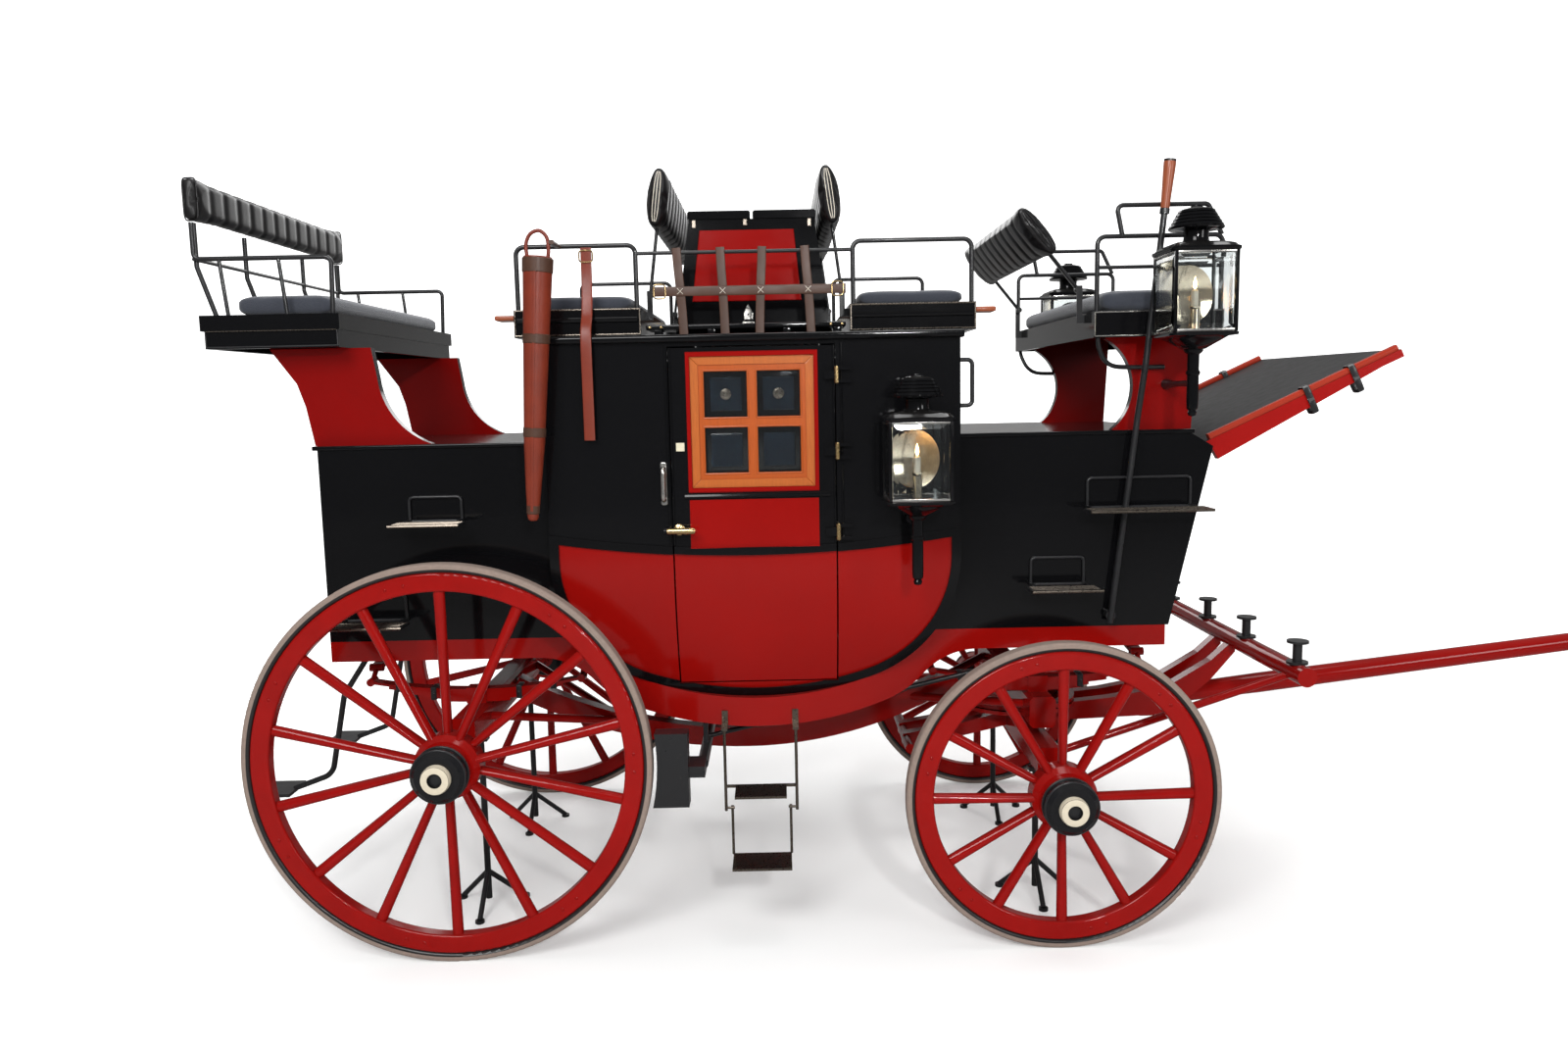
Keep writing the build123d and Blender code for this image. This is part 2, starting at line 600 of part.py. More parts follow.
def build_seats():
    lid_top = BOOT_TOP + BOOT_LIP
    hind = make_face([
        Polyline((-75, lid_top), (-456, lid_top), (-479, 1783), (-503, 1857), (-584, HIND_SEAT_Z[0]),
                 (-255, HIND_SEAT_Z[0]), (-240, 1872)),
        ThreePointArc((-240, 1872), (-196, 1748), (-75, lid_top)),
    ])
    board_z = BOX_SEAT_Z[1] - SEAT_BOARD
    back_x = BOX_SEAT[0]
    box = make_face([
        Polyline((back_x + 84, lid_top), (back_x + 346, lid_top), (back_x + 362, BOX_SEAT_Z[0]),
                 (back_x + 362, board_z), (back_x + 60, board_z), (back_x + 60, BOX_SEAT_Z[0])),
        ThreePointArc((back_x + 60, BOX_SEAT_Z[0]), (back_x + 152, 1790), (back_x + 84, lid_top)),
    ])
    risers = [plate(face, RISER_HALF - RISER, RISER_HALF) for face in (hind, box)]
    nodes["seat_risers"] = group([side for riser in risers for side in both(riser)])

    seat = seat_box(HIND_SEAT, HIND_SEAT_Z, SEAT_HALF)
    groove_z = sum(HIND_SEAT_Z) / 2 + 3
    ring = block((HIND_SEAT[0] - 9, HIND_SEAT[1] + 9), (-SEAT_HALF - 9, SEAT_HALF + 9), (groove_z, HIND_SEAT_Z[1]))
    ring -= block(HIND_SEAT, (-SEAT_HALF, SEAT_HALF), (groove_z - 1, HIND_SEAT_Z[1] + 1))
    hind = seat + ring
    box = seat_box(BOX_SEAT, BOX_SEAT_Z, SEAT_HALF - 15)
    roof_seats = [(x, x + ROOF_SEAT_LENGTH) for x in (REAR_ROOF_SEAT_X, FRONT_ROOF_SEAT_X)]
    roof_boxes = [seat_box(x, (ROOF_TOP, ROOF_SEAT_TOP), SEAT_HALF + 10) for x in roof_seats]
    nodes["end_seats"] = group([hind, box])
    nodes["roof_seats"] = group(roof_boxes)

    half = IRON_HALF - 2.5 * IRON_R
    pads = [cushion(x, ROOF_SEAT_TOP, half) for x in roof_seats]
    pads.append(cushion((HIND_SEAT[0] + 54, HIND_SEAT[1]), HIND_SEAT_Z[1], half, 1.5 * CUSHION))
    pads.append(cushion(BOX_SEAT, BOX_SEAT_Z[1], half, 1.6 * CUSHION))
    nodes["seat_cushions"] = group(pads)

    pad = block((-790, -738), (-SEAT_HALF, SEAT_HALF), (2366, 2508))
    nodes["hind_back"] = fillet(pad.edges(), 18)


def seat_iron(x, foot_z, rail_z, y=IRON_HALF):
    """Side rail of a seat: two posts and a rail bent from one bar."""
    return bent_bar([(x[0], y, foot_z), (x[0], y, rail_z), (x[1], y, rail_z), (x[1], y, foot_z)], IRON_R)


def build_irons():
    rear = (REAR_ROOF_SEAT_X + 12, REAR_ROOF_SEAT_X + ROOF_SEAT_LENGTH - 12)
    front = (FRONT_ROOF_SEAT_X + 12, FRONT_ROOF_SEAT_X + ROOF_SEAT_LENGTH - 12)
    y = IRON_HALF + IRON_R
    luggage = rod((rear[1], y, RAIL_Z - IRON_BEND), (front[0], y, RAIL_Z - IRON_BEND), IRON_R * 0.8)
    rails = [seat_iron(rear, ROOF_SEAT_TOP, RAIL_Z, y), seat_iron(front, ROOF_SEAT_TOP, RAIL_Z, y), luggage]
    brackets = []
    for edge, pivot in (
        (REAR_ROOF_SEAT_X + ROOF_SEAT_LENGTH, REAR_ROOF_SEAT_X + ROOF_SEAT_LENGTH + ROOF_BACK_PIVOT_GAP),
        (FRONT_ROOF_SEAT_X, FRONT_ROOF_SEAT_X - ROOF_BACK_PIVOT_GAP),
    ):
        brackets += back_brackets(pivot, edge, ROOF_SEAT_TOP, ROOF_BACK_PIVOT_Z)
    nodes["roof_irons"] = group([*both(join(rails)), join(brackets)])

    y = IRON_HALF
    seat_z = HIND_SEAT_Z[1]
    arm = bent_bar([(-340, y, seat_z), (-334, y, 2252), (-766, y, 2252), (-766, y, 2366)], IRON_R, 20)
    stays = [
        bent_bar([(-716, stay_y, seat_z), (-766, stay_y, 2230), (-766, stay_y, 2366)], IRON_R)
        for stay_y in (0.4 * y, y - 2 * IRON_R)
    ]
    cross = rod((-766, -y, 2252), (-766, y, 2252), IRON_R * 0.8)
    sides = [rod((foot, y, seat_z), (foot - 17, y, 2252), IRON_R * 0.8) for foot in (-671, -484)]
    bars = [bar for piece in (arm, *stays, *sides) for bar in both(piece)]
    hind = join([*bars, cross]) - nodes["end_seats"]

    y = SEAT_HALF - 15 - IRON_R
    seat_z = BOX_SEAT_Z[1]
    lower = seat_iron((BOX_SEAT[0] + 10, BOX_SEAT[1] - 10), seat_z, RAIL_Z, y)
    upper_x = [BOX_SEAT[0] + step for step in (89, 69, 359, 405)]
    upper = bent_bar([(x, y, z) for x, z in zip(upper_x, (RAIL_Z, 2364, 2364, RAIL_Z))], IRON_R, 18)
    middle = rod((BOX_SEAT[0] + 10, y, 2172), (BOX_SEAT[1] - 10, y, 2172), IRON_R * 0.8)
    brackets = back_brackets(BOX_SEAT[0] - 16, BOX_SEAT[0], BOX_SEAT_Z[1], BOX_BACK_PIVOT_Z)
    nodes["end_seat_irons"] = group([hind, *both(join([lower, upper, middle])), join(brackets)])


# Folding seat backs

def seat_back(pivot, pad_middle, half):
    """Padded back on two flat stays that hinge at the seat's rear edge."""
    (px, pz), (bx, bz) = pivot, pad_middle
    lean = Rot(0, degrees(atan2(bx - px, bz - pz)), 0)
    pad = fillet((Box(BACK_PAD, 2 * half, BACK_PAD_HEIGHT)).edges(), BACK_PAD / 3)
    pad = Pos(bx, 0, bz) * lean * pad
    length = hypot(bx - px, bz - pz)
    stays = []
    for y in (-BACK_STAY_Y, BACK_STAY_Y):
        stay = Pos(px, y, pz) * lean * Pos(0, 0, length / 2) * Box(BACK_STAY[0], BACK_STAY[1], length)
        eye = Pos(px, y, pz) * Rot(90, 0, 0) * Cylinder(11, BACK_STAY[1])
        bore = Pos(px, y, pz) * Rot(90, 0, 0) * Cylinder(BACK_PIN_R + PIN_FIT, 2 * BACK_STAY[1])
        stays.append(stay + eye - bore)
    return join([pad, *stays])


def back_brackets(x, face_x, seat_z, pivot_z):
    """Two upright plates on a seat's edge, each with a pin that a stay turns on."""
    pieces = []
    for sign in (-1, 1):
        outer = sign * (BACK_STAY_Y + BACK_STAY[1] / 2 + 5)
        y = sorted((outer, outer + sign * 6))
        pieces.append(block((x - 9, x + 9), y, (seat_z - 30, pivot_z + 11)))
        pieces.append(block(sorted((x, face_x)), y, (seat_z - 30, seat_z - 4)))
        pieces.append(rod((x, outer + sign * 3, pivot_z), (x, sign * (BACK_STAY_Y - 18), pivot_z), BACK_PIN_R))
    return pieces


def build_backs():
    rear_edge = REAR_ROOF_SEAT_X + ROOF_SEAT_LENGTH + ROOF_BACK_PIVOT_GAP
    front_edge = FRONT_ROOF_SEAT_X - ROOF_BACK_PIVOT_GAP
    nodes["roof_back_rear"] = seat_back(
        (rear_edge, ROOF_BACK_PIVOT_Z), (rear_edge + ROOF_BACK_LEAN, ROOF_BACK_PAD_Z), BACK_PAD_HALF)
    nodes["roof_back_front"] = seat_back(
        (front_edge, ROOF_BACK_PIVOT_Z), (front_edge - ROOF_BACK_LEAN, ROOF_BACK_PAD_Z), BACK_PAD_HALF)
    nodes["box_back"] = seat_back(
        (BOX_SEAT[0] - 16, BOX_BACK_PIVOT_Z), (BOX_SEAT[0] - 166, 2300), BACK_PAD_HALF - 30)


# Imperial

def frustum(low, high, z):
    """Tapered chest between two rectangles."""
    return loft([Plane(origin=(IMPERIAL_MID, 0, level)) * Rectangle(*size) for size, level in zip((low, high), z)])


def build_imperial():
    z = (ROOF_TOP, IMPERIAL_TOP_Z)
    shrink = 2 * IMPERIAL_WALL
    chest = frustum(IMPERIAL_BASE, IMPERIAL_TOP, z)
    inner_low = tuple(size - shrink for size in IMPERIAL_BASE)
    inner_high = tuple(size - shrink for size in IMPERIAL_TOP)
    hollow = frustum(inner_low, inner_high, (ROOF_TOP + IMPERIAL_WALL, IMPERIAL_TOP_Z + 0.01))
    length, width = (size / 2 + LID_OVERHANG for size in IMPERIAL_TOP)
    lid_z = (IMPERIAL_TOP_Z + LID_CLEAR, IMPERIAL_TOP_Z + LID_CLEAR + LID)
    for name, sign in (("imperial_lid_rear", -1), ("imperial_lid_front", 1)):
        x = sorted((IMPERIAL_MID + sign * LID_GAP / 2, IMPERIAL_MID + sign * length))
        leaf = block(x, (-width, width), lid_z)
        leaf = chamfer(leaf.edges().filter_by(Axis.Y).group_by(Axis.Z)[-1], LID / 5)
        axis_x = IMPERIAL_MID + sign * length
        for y in (-LID_HINGE_Y, LID_HINGE_Y):
            leaf = leaf - knuckle(axis_x, y, lid_z[1], LID_HINGE_R + LID_CLEAR, 2 * LID_KNUCKLE)
            leaf = leaf + knuckle(axis_x, y, lid_z[1], LID_HINGE_R, LID_KNUCKLE)
            leaf = leaf + block(sorted((axis_x, axis_x - sign * 2 * LID_HINGE_R)),
                                (y - LID_KNUCKLE / 2, y + LID_KNUCKLE / 2), (lid_z[0], lid_z[1]))
            leaf = leaf - knuckle(axis_x, y, lid_z[1], LID_HINGE_R / 3 + LID_CLEAR, 2 * LID_KNUCKLE)
            chest = chest + chest_hinge(axis_x, sign, y, lid_z[1])
        nodes[name] = leaf
    nodes["imperial_chest"] = chest - hollow


def knuckle(x, y, z, radius, length):
    """Cylinder along Y."""
    return Pos(x, y, z) * Rot(90, 0, 0) * Cylinder(radius, length)


def chest_hinge(axis_x, sign, y, axis_z):
    """Fixed half of a lid's hinge: leaf on the chest's end, two knuckles and the pin."""
    outer = axis_x + sign * LID_HINGE_R * 0.7
    low = axis_z - LID_HINGE_DROP
    half = LID_KNUCKLE
    fitting = block(sorted((axis_x - sign * 9, outer)), (y - half, y + half), (low, IMPERIAL_TOP_Z - LID_CLEAR))
    inner = axis_x + sign * LID_CLEAR
    top = axis_z - LID_HINGE_R - LID_CLEAR
    fitting = fitting + block(sorted((inner, outer)), (y - half, y + half), (low, top))
    for end in (-1, 1):
        middle = y + end * 0.78 * LID_KNUCKLE
        width = 0.22 * LID_KNUCKLE
        fitting = fitting + knuckle(axis_x, middle, axis_z, LID_HINGE_R, 2 * width)
        fitting = fitting + block(sorted((inner, outer)), (middle - width, middle + width), (top - 1, axis_z))
    return fitting + knuckle(axis_x, y, axis_z, LID_HINGE_R / 3, 2 * LID_KNUCKLE)


# Footboard

def build_footboard():
    nose_x, nose_z = FRONT_BOOT_NOSE
    seat_x = nose_x + 0.28 * (FRONT_BOOT_TOP_X - nose_x)
    seat_z = nose_z + 0.28 * (BOOT_TOP - nose_z)
    tip_x, tip_z = WHEELBASE + 1152.0, 1898.0
    cheek = polygon(
        (seat_x, seat_z), (tip_x, tip_z), (tip_x + 4, tip_z - 20), (tip_x - 93, tip_z - 74),
        (nose_x + 25, nose_z - 44), (nose_x, nose_z)
    )
    slope = atan2(tip_z - seat_z, tip_x - seat_x)
    board_thick = 26.0
    drop = (board_thick * sin(slope), -board_thick * cos(slope))
    board = polygon(
        (seat_x, seat_z), (tip_x, tip_z), (tip_x + drop[0], tip_z + drop[1]), (nose_x + drop[0], nose_z + 2),
        (nose_x, nose_z),
    )
    half = BOOT_HALF - 20
    pieces = [plate(board, -half, half)]
    pieces += both(plate(cheek, half - 26, half))
    nodes["footboard"] = join(pieces)


# Lamps

def lamp(x, y, glass_z, stem_z, arm_z, wall_y):
    """Square lantern: tray and stem below, corner posts, and a domed chimney on top."""
    half = LAMP_WIDTH / 2
    top = glass_z + LAMP_GLASS
    posts = [
        block((x + sx * (half - LAMP_POST / 2) - LAMP_POST / 2, x + sx * (half - LAMP_POST / 2) + LAMP_POST / 2),
              (y + sy * (half - LAMP_POST / 2) - LAMP_POST / 2, y + sy * (half - LAMP_POST / 2) + LAMP_POST / 2),
              (glass_z, top))
        for sx in (-1, 1) for sy in (-1, 1)
    ]
    tray = Pos(x, y, glass_z - 5) * Box(LAMP_WIDTH + 8, LAMP_WIDTH + 8, 10)
    crown = Pos(x, y, top + 5) * Box(LAMP_WIDTH + 8, LAMP_WIDTH + 8, 10)
    low, high = glass_z - 10, top + 10
    stem = turned(
        [(0, stem_z), (0.7 * LAMP_STEM_R, stem_z), (LAMP_STEM_R, stem_z + 20), (LAMP_STEM_R, low - 40),
         (31, low - 28), (78, low), (0, low)], (x, y, 0))
    chimney = turned(
        [(0, high), (90, high), (84, high + 26), (46, high + 40), (46, high + 56), (64, high + 60),
         (60, high + 84), (48, high + 104), (30, high + 118), (12, high + 124), (0, high + 124)], (x, y, 0))
    arm = rod((x, wall_y, arm_z), (x, y, arm_z), 10)
    return join([tray, crown, *posts, stem, chimney, arm])


def lamp_glass(x, y, glass_z):
    """Four panes between the posts."""
    half = LAMP_WIDTH / 2 - LAMP_POST
    z = (glass_z, glass_z + LAMP_GLASS)
    middle = LAMP_WIDTH / 2 - LAMP_POST / 2
    panes = []
    for sign in (-1, 1):
        edge = sign * middle
        panes.append(block((x + edge - 2, x + edge + 2), (y - half, y + half), z))
        panes.append(block((x - half, x + half), (y + edge - 2, y + edge + 2), z))
    return panes


def build_lamps():
    # Lamp X, lamp Y, bottom of the glass, foot of the stem, height of the arm, face that carries the arm.
    table = [
        (CABIN_FRONT - 158.0, 780.0, 1467.0, 1198.0, 1390.0, CABIN_HALF),
        (WHEELBASE + 393.0, 728.0, 1954.0, 1699.0, 1800.0, RISER_HALF),
    ]
    cases, panes = [], []
    for x, y, glass_z, stem_z, arm_z, wall_y in table:
        cases += both(lamp(x, y, glass_z, stem_z, arm_z, wall_y))
        panes += [copy for pane in lamp_glass(x, y, glass_z) for copy in both(pane)]
    nodes["lamp_cases"] = group(cases)
    nodes["lamp_glass"] = group(panes)


# Steps and handles bolted to the body

def boot_step(x, z):
    """Open iron frame on the boot's side, with a tread held out below it on two arms."""
    low, high = z
    y = BOOT_HALF + STEP_BAR_R + CUSHION_FIT
    left, right = x[0] + STEP_BAR_R, x[1] - STEP_BAR_R
    frame = bent_bar([(left, y, low), (left, y, high), (right, y, high), (right, y, low)], STEP_BAR_R, 3 * STEP_BAR_R)
    foot = rod((left, y, low + STEP_BAR_R), (right, y, low + STEP_BAR_R), STEP_BAR_R)
    arms = [block((x_arm, x_arm + 2 * STEP_BAR_R), (BOOT_HALF, BOOT_HALF + 62), (low, low + 12))
            for x_arm in (x[0], x[1] - 2 * STEP_BAR_R)]
    tread = block((x[0] - 22, x[1] + 22), (BOOT_HALF + 60, BOOT_HALF + 144), (low, low + TREAD))
    return join([frame, foot, *arms, tread])


def build_body_irons():
    # Rear end, front end, underside of the tread, top of the frame.
    steps = [
        (-150.0, 30.0, 1398.0, 1482.0),
        (-380.0, -170.0, 1072.0, 1160.0),
        (WHEELBASE - 64.0, WHEELBASE + 120.0, 1146.0, 1240.0),
        (WHEELBASE + 120.0, WHEELBASE + 468.0, 1398.0, 1500.0),
    ]
    pieces = [copy for x0, x1, z0, z1 in steps for copy in both(boot_step((x0, x1), (z0, z1)))]
    for face_x, sign in ((CABIN_REAR, -1), (CABIN_FRONT, 1)):
        out = face_x + sign * 44
        handle = bent_bar([(face_x, 590, 1745), (out, 590, 1745), (out, 590, 1890), (face_x, 590, 1890)], 7, 16)
        pieces += both(handle)
    step_y = 300.0
    hanger = bent_bar(
        [(-372, step_y, 950), (-500, step_y, 760), (-560, step_y, 470), (-700, step_y, 420)], 10, 60)
    pad = block((-800, -690), (step_y - 70, step_y + 70), (412, 424))
    hind_step = (hanger + pad) - nodes["bottom_rails"]
    nodes["body_irons"] = group([*pieces, *both(hind_step)])


# Leather

def build_leather():
    y = IRON_HALF + 1.8 * IRON_R + CUSHION_FIT
    strap = 4.0
    # Place along the coach of the net's upright straps.
    uprights = [(CABIN_MID + x, CABIN_MID + x + 28) for x in (-243.0, -105.0, 27.0, 161.0)]
    net = [block(x, (y, y + strap), (ROOF_TOP + CUSHION_FIT, RAIL_Z - IRON_BEND + 14)) for x in uprights]
    net.append(block((CABIN_MID - 309, CABIN_MID + 305), (y, y + strap), (2105, 2137)))
    nets = both(join(net))

    y = IRON_HALF + 2 * IRON_R + CUSHION_FIT
    hang_y = CABIN_HALF + ROOF_EAVE + 3
    path = polygon((y, 2270), (y + strap, 2270), (hang_y + strap, 1990), (hang_y + strap, 1658), (hang_y, 1658),
                   (hang_y, 1990))
    hanging = mirror(extrude(Plane.YZ.offset(CABIN_REAR + 130) * path, 34), Plane.XZ)
    nodes["straps"] = group([*nets, hanging])

    case = turned([(0, 0), (15, 0), (18, 12), (33, 247), (46, 800), (46, 812), (0, 812)])
    case_y = CABIN_HALF + ROOF_EAVE + 52
    loop = bent_bar([(-30, 0, 800), (-33, 0, 884), (33, 0, 884), (30, 0, 800)], 6, 26)
    case = Pos(CABIN_REAR - 33, -case_y, 1414) * Rot(0, 3.7, 0) * (case + loop)
    tie = block((CABIN_REAR + 55, CABIN_REAR + 71), (-case_y - 6, -y), (2258, 2272))
    nodes["umbrella_case"] = case + tie


# Furniture inside the cabin

def wall_x(sign):
    """Inner face of the rear (-1) or front (1) end wall."""
    return CABIN_MID + sign * (CABIN_LENGTH / 2 - END_WALL)


def build_inside():
    boards, pads = [], []
    for sign in (-1, 1):
        back_x = wall_x(sign)
        seat = sorted((back_x, back_x - sign * 400))
        half = CABIN_HALF - 70
        board = block(seat, (-half, half), (INSIDE_SEAT_Z - 20, INSIDE_SEAT_Z))
        boards.append(board & plate(cabin_outline(-FLOOR - CUSHION_FIT), -half, half))
        pads.append(cushion((seat[0] - 10, seat[1] + 10), INSIDE_SEAT_Z, half - 15, 90))
        back = sorted((back_x - sign * BOOT_FIT, back_x - sign * 70))
        pads.append(fillet(block(back, (20 - half, half - 20), (INSIDE_SEAT_Z + 160, INSIDE_SEAT_Z + 610)).edges(), 20))
    riser_half = FLOOR_HALF - 10
    for index, sign in enumerate((-1, 1)):
        riser_x = sorted((wall_x(sign) - sign * 386, wall_x(sign) - sign * 368))
        riser = block(riser_x, (-riser_half, riser_half), (BOAT_BOTTOM - 25, INSIDE_SEAT_Z - 20))
        riser &= plate(cabin_outline(-FLOOR - BOOT_FIT), -FLOOR_HALF, FLOOR_HALF)
        boards[index] = boards[index] + riser
    nodes["inside_seats"] = group(boards)
    nodes["inside_cushions"] = group(pads)


# Wheels

def spoke(foot_r, tip_r, offset):
    """Oval spoke that stands along +Z, thicker in width at the nave and broader at the rim."""
    low = Plane(origin=(0, offset, foot_r)) * Ellipse(SPOKE_FOOT[0] / 2, SPOKE_FOOT[1] / 2)
    high = Plane(origin=(0, 0, tip_r)) * Ellipse(SPOKE_TONGUE[0] / 2, SPOKE_TONGUE[1] / 2)
    return loft([low, high])


def ring_section(inner, outer, width, ease):
    """Cross-section of a rim with eased corners, drawn in X (radius) and Y (width)."""
    face = Pos((inner + outer) / 2, 0) * Rectangle(outer - inner, width)
    return fillet(face.vertices(), ease)


def wheel(radius, spokes):
    """Wooden wheel about the Y axis with its outer side towards +Y, and its tyre."""
    rim_out = radius - TYRE_DEPTH
    rim_in = rim_out - FELLOE_DEPTH
    felloe = revolve(ring_section(rim_in, rim_out, FELLOE_WIDTH, 8), Axis.Y)
    nave_profile = [
        (AXLE_ARM_R + AXLE_FIT, -NAVE_INNER), (NAVE_INNER_R, -NAVE_INNER), (NAVE_INNER_R, -NAVE_INNER + 22),
        (NAVE_R, -34), (NAVE_R, 24), (NOSE_R + 8, NAVE_OUTER), (NOSE_R, NAVE_OUTER), (NOSE_R, NOSE_END - 12),
        (NOSE_R - 12, NOSE_END), (CAP_R, NOSE_END), (CAP_R, CAP_END), (CAP_EYE_R, CAP_END),
        (CAP_EYE_R, CAP_END - CAP_EYE_DEPTH), (0, CAP_END - CAP_EYE_DEPTH), (0, NOSE_END - 20),
        (AXLE_ARM_R + AXLE_FIT, NOSE_END - 20),
    ]
    nave = revolve(polygon(*nave_profile), Axis.Y)
    pieces = [nave, felloe]
    for index in range(spokes):
        offset = SPOKE_STAGGER if index % 2 else -SPOKE_STAGGER
        bar = spoke(NAVE_R - 16, rim_in + 10, offset)
        pieces.append(Rot(0, index * 360 / spokes, 0) * bar)
    return join(pieces), revolve(ring_section(rim_out, radius, TYRE_WIDTH, 9), Axis.Y)


def build_wheels():
    # Name, place along the coach, radius, number of spokes.
    for name, x, radius, spokes in (
        ("rear", 0.0, REAR_WHEEL_R, REAR_SPOKES), ("front", WHEELBASE, FRONT_WHEEL_R, FRONT_SPOKES),
    ):
        wood, tyre = wheel(radius, spokes)
        place = Pos(x, HALF_TRACK, radius)
        for part_name, piece in (("wheel", place * wood), ("tyre", place * tyre)):
            nodes[f"{part_name}_{name}_left"] = piece
            nodes[f"{part_name}_{name}_right"] = mirror(piece, Plane.XZ)


# Undercarriage that stays with the body

def leaf_spring(half, camber):
    """Half-elliptic spring in X and Z, lowest in the middle at Z 0, made of shorter and shorter leaves."""
    radius = (half**2 + camber**2) / (2 * camber)
    width = SPRING_WIDTH
    pieces = []
    for index in range(LEAVES):
        reach = half * (1 - 0.17 * (LEAVES - 1 - index))
        low = radius - index * LEAF
        swing = degrees(asin(reach / low))
        outer = CenterArc((0, radius), low, 270 - swing, 2 * swing)
        inner = CenterArc((0, radius), low - LEAF, 270 - swing, 2 * swing)
        face = make_face([outer, inner, Line(outer @ 0, inner @ 0), Line(outer @ 1, inner @ 1)])
        pieces.append(plate(face, -width / 2, width / 2))
    pieces.append(block((-34, 34), (-width / 2 - 5, width / 2 + 5), (-4, LEAVES * LEAF + 6)))
    for sign in (-1, 1):
        pieces.append(Pos(sign * half, 0, eye_height(half, camber)) * Rot(90, 0, 0) * Cylinder(SPRING_EYE_R, width))
    return join(pieces)


def eye_height(half, camber):
    """Height of a spring's eyes over its lowest point."""
    radius = (half**2 + camber**2) / (2 * camber)
    main = radius - (LEAVES - 0.5) * LEAF
    return radius - (main**2 - half**2) ** 0.5


def build_springs():
    sets = []
    cross_top = BOOT_BOTTOM - SWEEP_DEPTH
    cross_half = SPRING_Y - SPRING_WIDTH / 2 - 24
    # Axle place and top of the bed that carries the side springs.
    for axle_x, seat_z in ((0.0, REAR_AXLE_Z + BED[1] + 6), (WHEELBASE, TRANSOM_Z[1])):
        side = leaf_spring(SPRING_HALF, SPRING_CAMBER)
        sets += [Pos(axle_x, y, seat_z + 4) * side for y in (-SPRING_Y, SPRING_Y)]
        side_eye_z = seat_z + 4 + eye_height(SPRING_HALF, SPRING_CAMBER)
        cross_eye_z = cross_top - 4 - eye_height(cross_half, CROSS_CAMBER)
        for end in (-1, 1):
            cross_x = axle_x + end * SPRING_HALF
            sets.append(Pos(cross_x, 0, cross_top - 4) * Rot(0, 0, 90) * Rot(180, 0, 0)
                        * leaf_spring(cross_half, CROSS_CAMBER))
            for y in (-1, 1):
                sets.append(rod((cross_x, y * cross_half, cross_eye_z), (cross_x, y * SPRING_Y, side_eye_z), 9))
    nodes["springs"] = join(sets)


def build_undercarriage():
    bed_low = REAR_AXLE_Z + AXLE_ARM_R / 2
    bed_high = REAR_AXLE_Z + BED[1] + 6
    bed = block((-BED[0] / 2, BED[0] / 2), (-BED_HALF, BED_HALF), (bed_low, bed_high))
    bed = chamfer(bed.edges().filter_by(Axis.Y), 12)
    axle_end = HALF_TRACK + NOSE_END - 24
    axle = rod((0, -axle_end, REAR_AXLE_Z), (0, axle_end, REAR_AXLE_Z), AXLE_ARM_R)
    collars = [Pos(0, sign * (HALF_TRACK - NAVE_INNER - 14), REAR_AXLE_Z) * Rot(90, 0, 0) * Cylinder(42, 18)
               for sign in (-1, 1)]
    nodes["rear_axle"] = join([bed, axle, *collars])

    low_point = (PERCH_MID_X, PERCH_MID_Z)
    reach = low_point[0] - BED[0] / 2
    rear_r = (reach**2 + PERCH_REAR_RISE**2) / (2 * PERCH_REAR_RISE)
    rear = JernArc(low_point, (-1, 0), rear_r, -degrees(asin(reach / rear_r)))
    rise = JernArc(low_point, (1, 0), PERCH_FRONT_R, PERCH_RISE)
    neck = JernArc(rise @ 1, rise % 1, PERCH_NECK_R, -PERCH_RISE)
    front = Line(neck @ 1, (WHEELBASE - TRANSOM / 2, (neck @ 1).Y))
    band = Sketch() + [trace(edge, PERCH[1]) for edge in (rear, rise, neck, front)]
    perch = plate(band, -PERCH[0] / 2, PERCH[0] / 2)
    wings = []
    for sign in (-1, 1):
        inner = sign * PERCH[0] / 3
        wings.append(rod((PERCH_MID_X - 500, inner, 560), (0, sign * 400, 706), 15))
        wings.append(rod((PERCH_MID_X + 630, inner, 632), (WHEELBASE, sign * 400, 700), 15))

    transom = block((WHEELBASE - TRANSOM / 2, WHEELBASE + TRANSOM / 2), (-480, 480), TRANSOM_Z)
    transom = chamfer(transom.edges().filter_by(Axis.Y), 12)
    ring = wheel_plate(TRANSOM_Z[0] - WHEEL_PLATE)
    bolt = rod((WHEELBASE, 0, FRONT_AXLE_Z + 44), (WHEELBASE, 0, TRANSOM_Z[1] + 14), PERCH_BOLT_R)
    nodes["transom"] = join([transom, ring, bolt])
    nodes["perch"] = join([perch, *wings]) - nodes["rear_axle"] - nodes["transom"]


def wheel_plate(low_z):
    """Flat iron ring that the fore-carriage turns on."""
    band = Circle(WHEEL_PLATE_R) - Circle(WHEEL_PLATE_R - WHEEL_PLATE_WIDTH)
    return extrude(Pos(WHEELBASE, 0, low_z) * band, WHEEL_PLATE)


